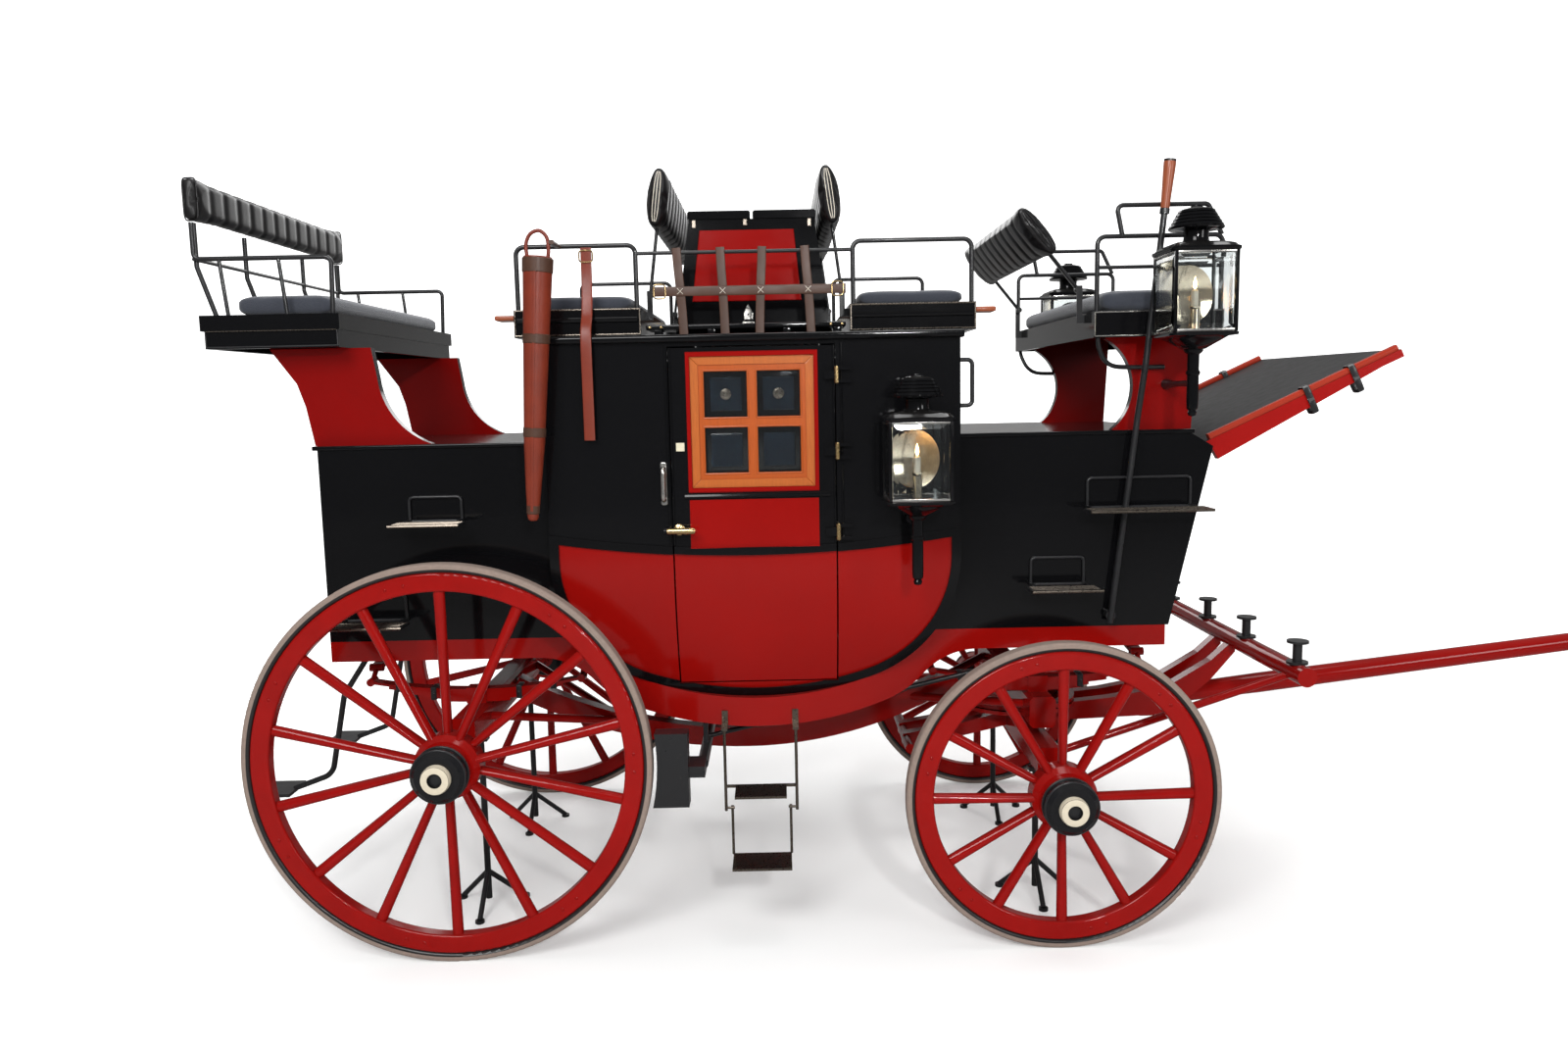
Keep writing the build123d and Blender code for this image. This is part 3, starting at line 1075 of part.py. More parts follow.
def build_brake():
    beam_x, beam_z = BRAKE_BEAM_X, BRAKE_BEAM_Z
    beam = rod((beam_x, -690, beam_z), (beam_x, 690, beam_z), 18)
    shoes = []
    for sign in (-1, 1):
        y = sorted((sign * (HALF_TRACK - 34), sign * (HALF_TRACK + 26)))
        shoe = block(BRAKE_SHOE, y, (500, 740))
        shoe -= Pos(0, 0, REAR_AXLE_Z) * Rot(90, 0, 0) * Cylinder(REAR_WHEEL_R + 14, 3 * HALF_TRACK)
        arm = block((beam_x - 60, beam_x + 12), sorted((sign * 664, sign * (HALF_TRACK + 18))), (beam_z - 18, beam_z + 18))
        shoes += [shoe, arm]
        hanger_y = BOOT_HALF - SWEEP_WIDTH / 2
        shoes.append(block((beam_x - 8, beam_x + 8), sorted((sign * (hanger_y - 14), sign * (hanger_y + 14))),
                           (beam_z, 703)))
    beam = join([beam, *shoes])
    rod_y = -(SPRING_Y + 64)
    foot_x = WHEELBASE + 197
    pull = rod((beam_x, rod_y, beam_z + 14), (foot_x - 27, rod_y, 925), 8)
    gear = (beam + pull) - nodes["bottom_rails"]

    # The lever runs between the boot and its treads, then outside the box seat.
    lever = bent_bar([(foot_x, -LEVER_LOW_Y, 1022), (foot_x + 79, -LEVER_LOW_Y, 1690),
                      (foot_x + 93, -LEVER_HIGH_Y, 1860), (foot_x + 145, -LEVER_HIGH_Y, 2350)], LEVER_R, 60)
    grip = rod((foot_x + 145, -LEVER_HIGH_Y, 2345), (foot_x + 158, -LEVER_HIGH_Y, 2495), 13, 19)
    pivot = rod((foot_x + 3, -LEVER_LOW_Y, 1046), (foot_x + 3, -BOOT_HALF, 1046), 16)
    nodes["brake_gear"] = group([gear, join([lever, grip, pivot])])


# Fore-carriage, which turns on the perch bolt

def build_fore_carriage():
    ring_z = TRANSOM_Z[0] - 2 * WHEEL_PLATE - STEER_GAP
    bed_z = (FRONT_AXLE_Z + AXLE_ARM_R / 2, ring_z)
    bed = block((WHEELBASE - BED[0] / 2, WHEELBASE + BED[0] / 2), (-BED_HALF, BED_HALF), bed_z)
    bed = chamfer(bed.edges().filter_by(Axis.Y), 12)
    hole = rod((WHEELBASE, 0, FRONT_AXLE_Z - 60), (WHEELBASE, 0, ring_z + 60), PERCH_BOLT_R + AXLE_FIT)
    # Side view of a futchell: place past the front axle, then its lower and upper edge.
    stations = [
        (-435.0, 462.0, 504.0), (-230.0, 488.0, 538.0), (0.0, 540.0, 596.0), (350.0, 552.0, 628.0),
        (570.0, 560.0, 668.0), (730.0, 690.0, 764.0), (SPLINTER_X - WHEELBASE, 796.0, 846.0),
    ]
    low = [(WHEELBASE + x, z) for x, z, _ in stations]
    high = [(WHEELBASE + x, z) for x, _, z in reversed(stations)]
    outline = polygon(*low, *high)
    rails = []
    for sign in (-1, 1):
        y = sorted((sign * (FUTCHELL_Y - FUTCHELL_WIDTH / 2), sign * (FUTCHELL_Y + FUTCHELL_WIDTH / 2)))
        rails.append(plate(outline, *y))
        stay_y = sign * 0.84 * SPLINTER_HALF
        rails.append(rod((WHEELBASE, sign * (BED_HALF - 60), 560), (SPLINTER_X, stay_y, SPLINTER_Z - 10), 13))
    sway = rod((SWAY_X, -SWAY_HALF, SWAY_Z), (SWAY_X, SWAY_HALF, SWAY_Z), 18)
    bridge = block((WHEELBASE + 470, WHEELBASE + 530), (-FUTCHELL_Y, FUTCHELL_Y), (548, 562))
    splinter = rod((SPLINTER_X, -SPLINTER_HALF, SPLINTER_Z), (SPLINTER_X, SPLINTER_HALF, SPLINTER_Z), SPLINTER_R)
    pin = rod((POLE_PIN_X, -FUTCHELL_Y - 30, POLE_PIN_Z), (POLE_PIN_X, FUTCHELL_Y + 30, POLE_PIN_Z), POLE_PIN_R)
    frame = join([bed, wheel_plate(ring_z), *rails, sway, bridge, splinter, pin])

    axle_end = HALF_TRACK + NOSE_END - 24
    axle = rod((WHEELBASE, -axle_end, FRONT_AXLE_Z), (WHEELBASE, axle_end, FRONT_AXLE_Z), AXLE_ARM_R - 0.01)
    collars = [Pos(WHEELBASE, sign * (HALF_TRACK - NAVE_INNER - 14), FRONT_AXLE_Z) * Rot(90, 0, 0) * Cylinder(42, 18)
               for sign in (-1, 1)]
    nodes["front_axle"] = join([axle, *collars]) - hole
    nodes["fore_carriage"] = frame - hole - nodes["front_axle"]

    bolts = []
    for y in [sign * value for value in ROLLER_BOLT_Y for sign in (-1, 1)]:
        seat = SPLINTER_Z + SPLINTER_R - 2
        bolts.append(Pos(SPLINTER_X, y, seat + ROLLER_BOLT_HEIGHT / 2) * Cylinder(ROLLER_BOLT_R, ROLLER_BOLT_HEIGHT))
        for level in (seat + 4, seat + ROLLER_BOLT_HEIGHT):
            bolts.append(Pos(SPLINTER_X, y, level) * Cylinder(ROLLER_BOLT_CAP_R, 8))
    bar = rod((SPLINTER_X, -SPLINTER_HALF, SPLINTER_Z), (SPLINTER_X, SPLINTER_HALF, SPLINTER_Z), SPLINTER_R)
    nodes["roller_bolts"] = group([piece - bar for piece in join(bolts).solids()])


def build_pole():
    heel = (POLE_HEEL_X, 0, POLE_HEEL_Z)
    tip = (POLE_TIP_X, 0, POLE_TIP_Z)
    swell = (POLE_HEEL_X + 840, 0, POLE_HEEL_Z + 840 * POLE_SLOPE)
    shaft = rod(heel, swell, POLE_HEEL_R, POLE_SWELL_R) + rod(swell, tip, POLE_SWELL_R, POLE_TIP_R)
    eye = rod((POLE_PIN_X, -60, POLE_PIN_Z), (POLE_PIN_X, 60, POLE_PIN_Z), POLE_PIN_R + PIN_FIT)
    nodes["pole"] = shaft - eye
    cap = rod((POLE_TIP_X - 70, 0, POLE_TIP_Z - 7), (POLE_TIP_X + 6, 0, POLE_TIP_Z + 1), POLE_TIP_R + 7)
    hook = bent_bar([(POLE_TIP_X - 30, 0, POLE_TIP_Z + 44), (POLE_TIP_X + 40, 0, POLE_TIP_Z + 44),
                     (POLE_TIP_X + 50, 0, POLE_TIP_Z - 50), (POLE_TIP_X - 20, 0, POLE_TIP_Z - 54)], 10, 24)
    rest = block((POLE_TIP_X - 44, POLE_TIP_X - 20), (-12, 12), (POLE_TIP_Z + 20, POLE_TIP_Z + 50))
    nodes["pole_hook"] = join([cap, hook, rest]) - nodes["pole"]


# Door steps

def build_door_steps():
    hangers = []
    outer = STEP_BAR_X
    for sign in (-1, 1):
        x = STEP_MID + sign * outer
        hangers.append(rod((x, STEP_Y, STEP_HINGE_Z - 10), (x, STEP_Y, STEP_TOP_Z), STEP_BAR_R))
        hangers.append(block((x - 10, x + 10), (BOOT_HALF, STEP_Y + STEP_BAR_R), (STEP_TOP_Z - 6, STEP_TOP_Z + 2)))
        hangers.append(block((x - 10, x + 10), (BOOT_HALF, BOOT_HALF + 6), (STEP_TOP_Z - 6, STEP_TOP_Z + 44)))
        pin_end = STEP_MID + sign * (LOWER_BAR_X - LOWER_BAR_R - 3)
        hangers.append(rod((x, STEP_Y, STEP_HINGE_Z), (pin_end, STEP_Y, STEP_HINGE_Z), STEP_PIN_R))
    cross = block((STEP_MID - outer, STEP_MID + outer), (STEP_Y - STEP_BAR_R, STEP_Y + STEP_BAR_R),
                  (UPPER_TREAD_Z, UPPER_TREAD_Z + TREAD))
    half = UPPER_TREAD[0] / 2
    tread = block((STEP_MID - half, STEP_MID + half), (STEP_Y, STEP_Y + UPPER_TREAD[1]),
                  (UPPER_TREAD_Z, UPPER_TREAD_Z + TREAD))
    nodes["step_hangers"] = group(both(join([*hangers, cross, tread])))

    low_z = STEP_HINGE_Z - LOWER_LENGTH
    bars = []
    for sign in (-1, 1):
        x = STEP_MID + sign * LOWER_BAR_X
        bar = rod((x, STEP_Y, STEP_HINGE_Z), (x, STEP_Y, low_z), LOWER_BAR_R)
        eye = Pos(x, STEP_Y, STEP_HINGE_Z) * Rot(0, 90, 0) * Cylinder(STEP_PIN_R + 4, 2 * LOWER_BAR_R)
        bore = Pos(x, STEP_Y, STEP_HINGE_Z) * Rot(0, 90, 0) * Cylinder(STEP_PIN_R + PIN_FIT, 30)
        bars += [(bar + eye) - bore]
    tread = block((STEP_MID - LOWER_BAR_X, STEP_MID + LOWER_BAR_X), (STEP_Y - LOWER_BAR_R, STEP_Y + LOWER_TREAD_DEPTH),
                  (low_z - TREAD, low_z))
    lower = join([*bars, tread])
    nodes["step_lower_left"], nodes["step_lower_right"] = both(lower)


# Floor stands under the axle beds

def build_stands():
    stands = []
    # Axle place and the height under its axle.
    for axle_x, top in ((0.0, REAR_AXLE_Z - AXLE_ARM_R), (WHEELBASE, FRONT_AXLE_Z - AXLE_ARM_R - STEER_GAP)):
        for y in (-SPRING_Y, SPRING_Y):
            pieces = [rod((axle_x, y, 30), (axle_x, y, top - 12), 11), block((axle_x - 26, axle_x + 26), (y - 20, y + 20),
                                                                              (top - 12, top))]
            for leg in range(3):
                angle = 2 * pi * leg / 3 + pi / 6
                foot = (axle_x + 130 * cos(angle), y + 130 * sin(angle), 9)
                pieces.append(rod((axle_x, y, 130), foot, 9))
                pieces.append(Pos(foot[0], foot[1], 5) * Cylinder(16, 10))
            stands.append(join(pieces))
    nodes["axle_stands"] = group(stands)


build_cabin()
build_doors()
build_boots()
build_sweep()
build_seats()
build_irons()
build_backs()
build_imperial()
build_footboard()
build_lamps()
build_body_irons()
build_leather()
build_inside()
build_wheels()
build_springs()
build_undercarriage()
build_brake()
build_fore_carriage()
build_pole()
build_door_steps()
build_stands()

# The finished model stands on Z 0 with the middle of its length at X 0.
boxes = [piece.bounding_box() for piece in nodes.values()]
SHIFT = -(min(box.min.X for box in boxes) + max(box.max.X for box in boxes)) / 2
print("shift", SHIFT)

os.makedirs("parts", exist_ok=True)
for name, piece in nodes.items():
    export_step(Pos(SHIFT, 0, 0) * piece, f"parts/{name}.step")
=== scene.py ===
"""Finishes and fine pieces of a four-horse private coach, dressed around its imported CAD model.

Lengths are metres. Pieces are laid out in the coach's own frame, whose X is measured forward from
the rear axle, and `place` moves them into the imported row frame.
"""

from __future__ import annotations

import logging
import math
from dataclasses import dataclass
from enum import Enum

import bmesh
import bpy
import numpy as np
from mathutils import Matrix, Vector


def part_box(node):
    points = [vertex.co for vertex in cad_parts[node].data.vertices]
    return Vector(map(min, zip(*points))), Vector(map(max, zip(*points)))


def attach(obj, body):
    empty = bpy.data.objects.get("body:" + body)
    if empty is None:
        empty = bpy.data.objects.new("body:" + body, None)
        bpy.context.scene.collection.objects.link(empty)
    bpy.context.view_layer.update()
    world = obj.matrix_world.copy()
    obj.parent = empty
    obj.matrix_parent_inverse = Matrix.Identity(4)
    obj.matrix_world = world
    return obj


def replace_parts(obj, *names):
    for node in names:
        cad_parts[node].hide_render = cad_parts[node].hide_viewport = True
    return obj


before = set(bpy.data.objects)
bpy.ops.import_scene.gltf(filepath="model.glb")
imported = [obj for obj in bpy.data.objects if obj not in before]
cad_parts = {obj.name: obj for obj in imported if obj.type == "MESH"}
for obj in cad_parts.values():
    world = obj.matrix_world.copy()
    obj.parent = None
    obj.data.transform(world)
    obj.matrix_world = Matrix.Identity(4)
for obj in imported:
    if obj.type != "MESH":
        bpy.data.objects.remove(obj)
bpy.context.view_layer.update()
REAR_AXLE_X = (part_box("rear_axle")[0].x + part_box("rear_axle")[1].x) / 2
WHEELBASE = 1.95
LOG = logging.getLogger("coach")

Colour = tuple[float, float, float]
Point = tuple[float, float, float]
Pair = tuple[float, float]
Array = np.ndarray
Piece = bpy.types.Object
Socket = bpy.types.NodeSocket

FORWARD: Point = (1.0, 0.0, 0.0)
ACROSS: Point = (0.0, 1.0, 0.0)
UP: Point = (0.0, 0.0, 1.0)


class Side(Enum):
    """Side of the coach that a piece stands on, with the sign of its Y."""

    LEFT = 1
    RIGHT = -1

    @property
    def tag(self) -> str:
        """The side's name, as the names of pieces give it."""
        return self.name.lower()

    @property
    def out(self) -> Point:
        """Direction out of the coach on this side."""
        return (0.0, float(self.value), 0.0)


SIDES = (Side.LEFT, Side.RIGHT)


# Nodes of a material


class Shader:
    """One material's node tree, whose patterns all read Object coordinates."""

    def __init__(self, name: str) -> None:
        """Starts a material with a Principled surface.

        Args:
            name: name of the material.
        """
        self.material = bpy.data.materials.new(name)
        self.material.use_nodes = True
        self.tree = self.material.node_tree
        self.surface = self.tree.nodes["Principled BSDF"]
        self.place = self.tree.nodes.new("ShaderNodeTexCoord").outputs["Object"]

    def add(self, kind: str, inputs: dict, **settings: object) -> bpy.types.Node:
        """Adds one node.

        Args:
            kind: class name of the node.
            inputs: value or socket for each input, by name or number.
            **settings: attributes of the node.

        Returns:
            The new node.
        """
        node = self.tree.nodes.new(kind)
        for key, value in settings.items():
            setattr(node, key, value)
        for key, value in inputs.items():
            self.feed(node.inputs[key], value)
        return node

    def feed(self, socket: Socket, value: object) -> None:
        """Links a socket to another, or sets its own value."""
        if isinstance(value, Socket):
            self.tree.links.new(value, socket)
        elif isinstance(value, tuple) and len(value) == 3 and socket.type == "RGBA":
            socket.default_value = (*value, 1.0)
        else:
            socket.default_value = value

    def stretch(self, scale: tuple[float, float, float]) -> Socket:
        """Object coordinates stretched along each axis."""
        return self.add("ShaderNodeMapping", {"Vector": self.place, "Scale": scale}).outputs[0]

    def noise(
        self, scale: float, detail: float = 4.0, at: Socket | None = None
    ) -> Socket:
        """Soft random height.

        Args:
            scale: how many patches there are to the metre.
            detail: how many finer layers are added.
            at: coordinates, if not plain Object coordinates.

        Returns:
            The noise's factor.
        """
        inputs = {"Vector": at or self.place, "Scale": scale, "Detail": detail}
        return self.add("ShaderNodeTexNoise", inputs).outputs["Fac"]

    def cells(self, scale: float, feature: str = "F1") -> Socket:
        """Distance pattern of scattered cells, as in leather grain."""
        inputs = {"Vector": self.place, "Scale": scale}
        return self.add("ShaderNodeTexVoronoi", inputs, feature=feature).outputs["Distance"]

    def weave(self, scale: float, axis: str) -> Socket:
        """Fine parallel ridges along one axis."""
        inputs = {"Vector": self.place, "Scale": scale, "Distortion": 0.6, "Detail": 1.0}
        return self.add("ShaderNodeTexWave", inputs, bands_direction=axis).outputs["Fac"]

    def calc(
        self, operation: str, a: object, b: object = 0.0, c: object = 0.0, clamp: bool = False
    ) -> Socket:
        """One arithmetic step on numbers or sockets."""
        inputs = {0: a, 1: b, 2: c}
        return self.add("ShaderNodeMath", inputs, operation=operation, use_clamp=clamp).outputs[0]

    def axes(self) -> tuple[Socket, ...]:
        """X, Y and Z of the point in the row frame."""
        split = self.add("ShaderNodeSeparateXYZ", {0: self.place})
        return tuple(split.outputs[name] for name in "XYZ")

    def facing(self, axis: str) -> Socket:
        """How far the surface faces along one axis, from -1 to 1."""
        normal = self.add("ShaderNodeNewGeometry", {}).outputs["Normal"]
        return self.add("ShaderNodeSeparateXYZ", {0: normal}).outputs[axis]

    def distance(self, a: object, b: object) -> Socket:
        """Length of a flat vector: the root of a^2 + b^2."""
        squares = self.calc("MULTIPLY_ADD", a, a, self.calc("MULTIPLY", b, b))
        return self.calc("SQRT", squares)

    def from_axle(self, centre: Point) -> Socket:
        """Distance of the point from a wheel's axis, seen from the side."""
        x, _, z = self.axes()
        ahead = self.calc("SUBTRACT", x, centre[0] + REAR_AXLE_X)
        return self.distance(ahead, self.calc("SUBTRACT", z, centre[2]))

    def mix(self, factor: object, a: object, b: object) -> Socket:
        """Colour between two others."""
        node = self.tree.nodes.new("ShaderNodeMix")
        node.data_type = "RGBA"
        for index, value in ((0, factor), (6, a), (7, b)):
            self.feed(node.inputs[index], value)
        return node.outputs[2]

    def mottled(
        self, colour: Colour, dark: float, scale: float = 3.0, detail: float = 3.0
    ) -> Socket:
        """A colour that darkens softly in patches.

        Args:
            colour: the full colour.
            dark: share of it that is left where it is darkest.
            scale: how many patches there are to the metre.
            detail: how many finer layers are added.

        Returns:
            The mottled colour.
        """
        return self.mix(self.noise(scale, detail), tuple(c * dark for c in colour), colour)

    def spread(self, value: object, low: float, high: float) -> Socket:
        """A 0 to 1 value spread evenly between two limits."""
        inputs = {"Value": value, "To Min": low, "To Max": high}
        return self.add("ShaderNodeMapRange", inputs).outputs[0]

    def step(self, value: object, edge: float, soft: float) -> Socket:
        """Rises from 0 to 1 across an edge."""
        inputs = {"Value": value, "From Min": edge - soft, "From Max": edge + soft}
        return self.add("ShaderNodeMapRange", inputs).outputs[0]

    def within(self, value: object, low: float, high: float, soft: float) -> Socket:
        """1 between two limits and 0 outside them."""
        rise = self.step(value, low, soft)
        fall = self.step(value, high, soft)
        return self.calc("SUBTRACT", rise, fall, clamp=True)

    def bump(self, height: object, strength: float, distance: float) -> None:
        """Feeds a height to the surface's normal.

        Args:
            height: height socket.
            strength: share of the effect, from 0 to 1.
            distance: depth of the relief in metres.
        """
        below = self.surface.inputs["Normal"]
        inputs = {"Height": height, "Strength": strength, "Distance": distance}
        node = self.add("ShaderNodeBump", inputs)
        if below.is_linked:
            self.feed(node.inputs["Normal"], below.links[0].from_socket)
        self.feed(below, node.outputs[0])

    def set(self, **values: object) -> "Shader":
        """Sets surface inputs, with spaces written as underscores."""
        for key, value in values.items():
            self.feed(self.surface.inputs[key.replace("_", " ")], value)
        return self


# Finishes


@dataclass(frozen=True)
class Finish:
    """Material of one kind, with its name and the record's slot that it belongs to."""

    name: str
    slot: str = "black"
    colour: Colour = (0.01, 0.01, 0.012)
    gloss: float = 0.15

    def nodes(self, shader: Shader) -> None:
        """Lays out the material's nodes."""
        raise NotImplementedError

    def material(self) -> bpy.types.Material:
        """The Blender material, made on first use."""
        found = bpy.data.materials.get(self.name)
        if found is None:
            shader = Shader(self.name)
            self.nodes(shader)
            found = shader.material
        return found


@dataclass(frozen=True)
class Varnish(Finish):
    """Coach paint under polished varnish: slight depth, orange peel and a little dust on top."""

    dust: float = 0.03

    def paint(self, shader: Shader) -> object:
        """Colour under the varnish."""
        return shader.mottled(self.colour, 0.72)

    def nodes(self, shader: Shader) -> None:
        """Paint, dust where the surface faces up, and a rippled clear coat."""
        up = shader.step(shader.facing("Z"), 0.7, 0.25)
        settled = shader.calc("MULTIPLY", up, shader.noise(9.0, 6.0))
        dusty = shader.calc("MULTIPLY", settled, self.dust)
        shader.set(Base_Color=shader.mix(dusty, self.paint(shader), (0.42, 0.38, 0.33)))
        rough = shader.spread(shader.noise(14.0, 5.0), self.gloss * 0.7, self.gloss * 1.5)
        shader.set(Roughness=shader.calc("ADD", rough, shader.calc("MULTIPLY", dusty, 1.5)))
        shader.set(Coat_Weight=0.12, Coat_Roughness=0.02, Coat_IOR=1.35, IOR=1.3)
        shader.bump(shader.noise(160.0, 2.0), 0.05, 0.0006)
        shader.bump(shader.noise(7.0, 2.0), 0.05, 0.004)


@dataclass(frozen=True)
class BodyPaint(Varnish):
    """Black upper panels, red below the curved belt and on the doors, and a dark lining inside.

    The belt's height is z = belt_z + belt_rise ((x - mid_x) / half_length)^2. Each door field is
    the half of its length, its lower edge and its upper edge.
    """

    red: Colour = (0.25, 0.0035, 0.0025)
    lining: Colour = (0.011, 0.013, 0.02)
    belt_z: float = 1.281
    belt_rise: float = 0.053
    mid_x: float = 0.985
    half_length: float = 0.66
    door_fields: tuple[Point, ...] = ((0.2085, 1.485, 1.93), (0.2065, 1.307, 1.462))
    brush: float = 0.0006
    inward: float = -0.4

    def paint(self, shader: Shader) -> object:
        """Red below the belt and in the door's fields, lined where the wall faces the cabin."""
        x, y, z = shader.axes()
        along = shader.calc("ABSOLUTE", shader.calc("SUBTRACT", x, self.mid_x + REAR_AXLE_X))
        share = shader.calc("DIVIDE", along, self.half_length)
        rise = shader.calc("MULTIPLY", shader.calc("MULTIPLY", share, share), self.belt_rise)
        above = shader.step(shader.calc("SUBTRACT", z, rise), self.belt_z, self.brush)
        mask = shader.calc("SUBTRACT", 1.0, above)
        for half, low, high in self.door_fields:
            inside = shader.calc("LESS_THAN", along, half)
            panel = shader.calc("MULTIPLY", inside, shader.within(z, low, high, self.brush))
            mask = shader.calc("MAXIMUM", mask, panel)
        painted = shader.mix(mask, self.colour, shader.mottled(self.red, 0.75))
        facing = shader.add("ShaderNodeTexCoord", {}).outputs["Normal"]
        out = shader.add("ShaderNodeSeparateXYZ", {0: facing}).outputs["Y"]
        outward = shader.calc("MULTIPLY", out, shader.calc("SIGN", y))
        return shader.mix(shader.calc("LESS_THAN", outward, self.inward), painted, self.lining)


@dataclass(frozen=True)
class FootboardPaint(Varnish):
    """Red sides under black treading surfaces."""

    red: Colour = (0.27, 0.005, 0.004)

    def tread(self, shader: Shader) -> Socket:
        """1 where a foot rests, and 0 where the surface stands upright."""
        return shader.step(shader.facing("Z"), 0.5, 0.05)

    def paint(self, shader: Shader) -> object:
        """Red where the surface stands upright, black where a foot rests."""
        return shader.mix(self.tread(shader), self.red, self.colour)

    def nodes(self, shader: Shader) -> None:
        """Varnished cheeks, and scuffed matting on the treads."""
        super().nodes(shader)
        scuff = shader.spread(shader.noise(30.0, 7.0), 0.5, 0.75)
        rough = shader.calc("MULTIPLY", self.tread(shader), scuff)
        shader.set(Roughness=shader.calc("MAXIMUM", rough, self.gloss))


@dataclass(frozen=True)
class RiserPaint(Varnish):
    """Red boards whose sawn edges are lined in black."""

    edge: Colour = (0.006, 0.006, 0.007)

    def paint(self, shader: Shader) -> object:
        """Red on the boards' faces, black where the surface turns away from Y."""
        out = shader.step(shader.calc("ABSOLUTE", shader.facing("Y")), 0.5, 0.1)
        return shader.mix(out, self.edge, shader.mottled(self.colour, 0.7))


@dataclass(frozen=True)
class WheelPaint(Varnish):
    """Red wood with the nave's black iron nose and back band, ringed round one wheel's axis."""

    centre: Point = (0.0, 0.75, 0.6475)
    iron: Colour = (0.008, 0.008, 0.009)
    iron_radius: float = 0.12
    nose_from: float = 0.074
    back_from: float = 0.0555

    def paint(self, shader: Shader) -> object:
        """Black where the point lies on the nave's nose or back band."""
        out = shader.calc("ABSOLUTE", shader.axes()[1])
        track = abs(self.centre[1])
        nose = shader.calc("GREATER_THAN", out, track + self.nose_from)
        back = shader.calc("LESS_THAN", out, track - self.back_from)
        nave = shader.calc("LESS_THAN", shader.from_axle(self.centre), self.iron_radius)
        iron = shader.calc("MULTIPLY", shader.calc("MAXIMUM", nose, back), nave)
        return shader.mix(iron, shader.mottled(self.colour, 0.7, 11.0, 4.0), self.iron)


@dataclass(frozen=True)
class TyreRubber(Finish):
    """Worn grey rubber held in a black iron channel, ringed round one wheel's axis."""

    centre: Point = (0.0, 0.75, 0.6475)
    radius: float = 0.6475
    rubber: float = 0.0175
    worn: Colour = (0.21, 0.17, 0.14)
    grime: Colour = (0.13, 0.09, 0.075)
    channel: Colour = (0.012, 0.011, 0.011)

    def nodes(self, shader: Shader) -> None:
        """Channel inside, rubber outside, rubbed and grimy on the tread."""
        outer = shader.step(shader.from_axle(self.centre), self.radius - self.rubber, 0.0006)
        worn = shader.mix(shader.noise(28.0, 8.0), self.colour, self.worn)
        patches = shader.calc("MULTIPLY", shader.noise(90.0, 6.0), 0.55)
        tread = shader.mix(patches, worn, self.grime)
        shader.set(Base_Color=shader.mix(outer, self.channel, tread))
        shader.set(Roughness=shader.spread(outer, 0.32, 0.86))
        shader.bump(shader.noise(420.0, 4.0), 0.25, 0.0008)


@dataclass(frozen=True)
class Iron(Finish):
    """Forged iron under black enamel, a little uneven."""

    def nodes(self, shader: Shader) -> None:
        """Enamel with faint hammering and rubbed spots."""
        rubbed = shader.step(shader.noise(38.0, 8.0), 0.74, 0.04)
        shader.set(Base_Color=shader.mix(rubbed, self.colour, (0.05, 0.045, 0.04)))
        shader.set(Roughness=shader.spread(shader.noise(24.0, 5.0), self.gloss, self.gloss * 2.2))
        shader.set(Coat_Weight=0.2, Coat_Roughness=0.06, IOR=1.38)
        shader.bump(shader.noise(75.0, 3.0), 0.12, 0.0012)


@dataclass(frozen=True)
class Metal(Finish):
    """Bright fitting of nickel, silver, steel or brass with fine polishing marks."""

    tarnish: float = 0.62

    def nodes(self, shader: Shader) -> None:
        """Tarnish in patches over fine scratches."""
        dull = tuple(c * self.tarnish for c in self.colour)
        shader.set(Base_Color=shader.mix(shader.noise(45.0, 7.0), self.colour, dull), Metallic=1.0)
        marks = shader.noise(130.0, 6.0)
        shader.set(Roughness=shader.spread(marks, self.gloss * 0.6, self.gloss * 1.7))
        shader.bump(shader.noise(700.0, 2.0, shader.stretch((1.0, 1.0, 0.06))), 0.08, 0.0003)


@dataclass(frozen=True)
class Leather(Finish):
    """Grained harness leather, darker in its creases."""

    grain: float = 420.0

    def nodes(self, shader: Shader) -> None:
        """Cell grain, soft creases and polished high spots."""
        cells = shader.cells(self.grain)
        crease = shader.noise(16.0, 6.0)
        dark = tuple(c * 0.5 for c in self.colour)
        tint = shader.mix(crease, dark, self.colour)
        shader.set(Base_Color=shader.mix(shader.calc("MULTIPLY", cells, 0.35), tint, dark))
        shader.set(Roughness=shader.spread(crease, self.gloss * 1.3, self.gloss * 0.75))
        shader.set(IOR=1.38)
        shader.bump(cells, 0.3, 0.0005)
        shader.bump(crease, 0.16, 0.0018)


@dataclass(frozen=True)
class BoxCloth(Finish):
    """Close woollen cloth with a felted face."""

    def nodes(self, shader: Shader) -> None:
        """Crossed threads under a short nap."""
        threads = shader.calc("MULTIPLY", shader.weave(900.0, "X"), shader.weave(900.0, "Y"))
        nap = shader.noise(260.0, 8.0)
        dark = tuple(c * 0.6 for c in self.colour)
        shader.set(Base_Color=shader.mix(nap, dark, self.colour))
        shader.set(Roughness=0.93, Sheen_Weight=0.35, Sheen_Roughness=0.5)
        shader.bump(threads, 0.4, 0.0006)
        shader.bump(nap, 0.3, 0.0012)


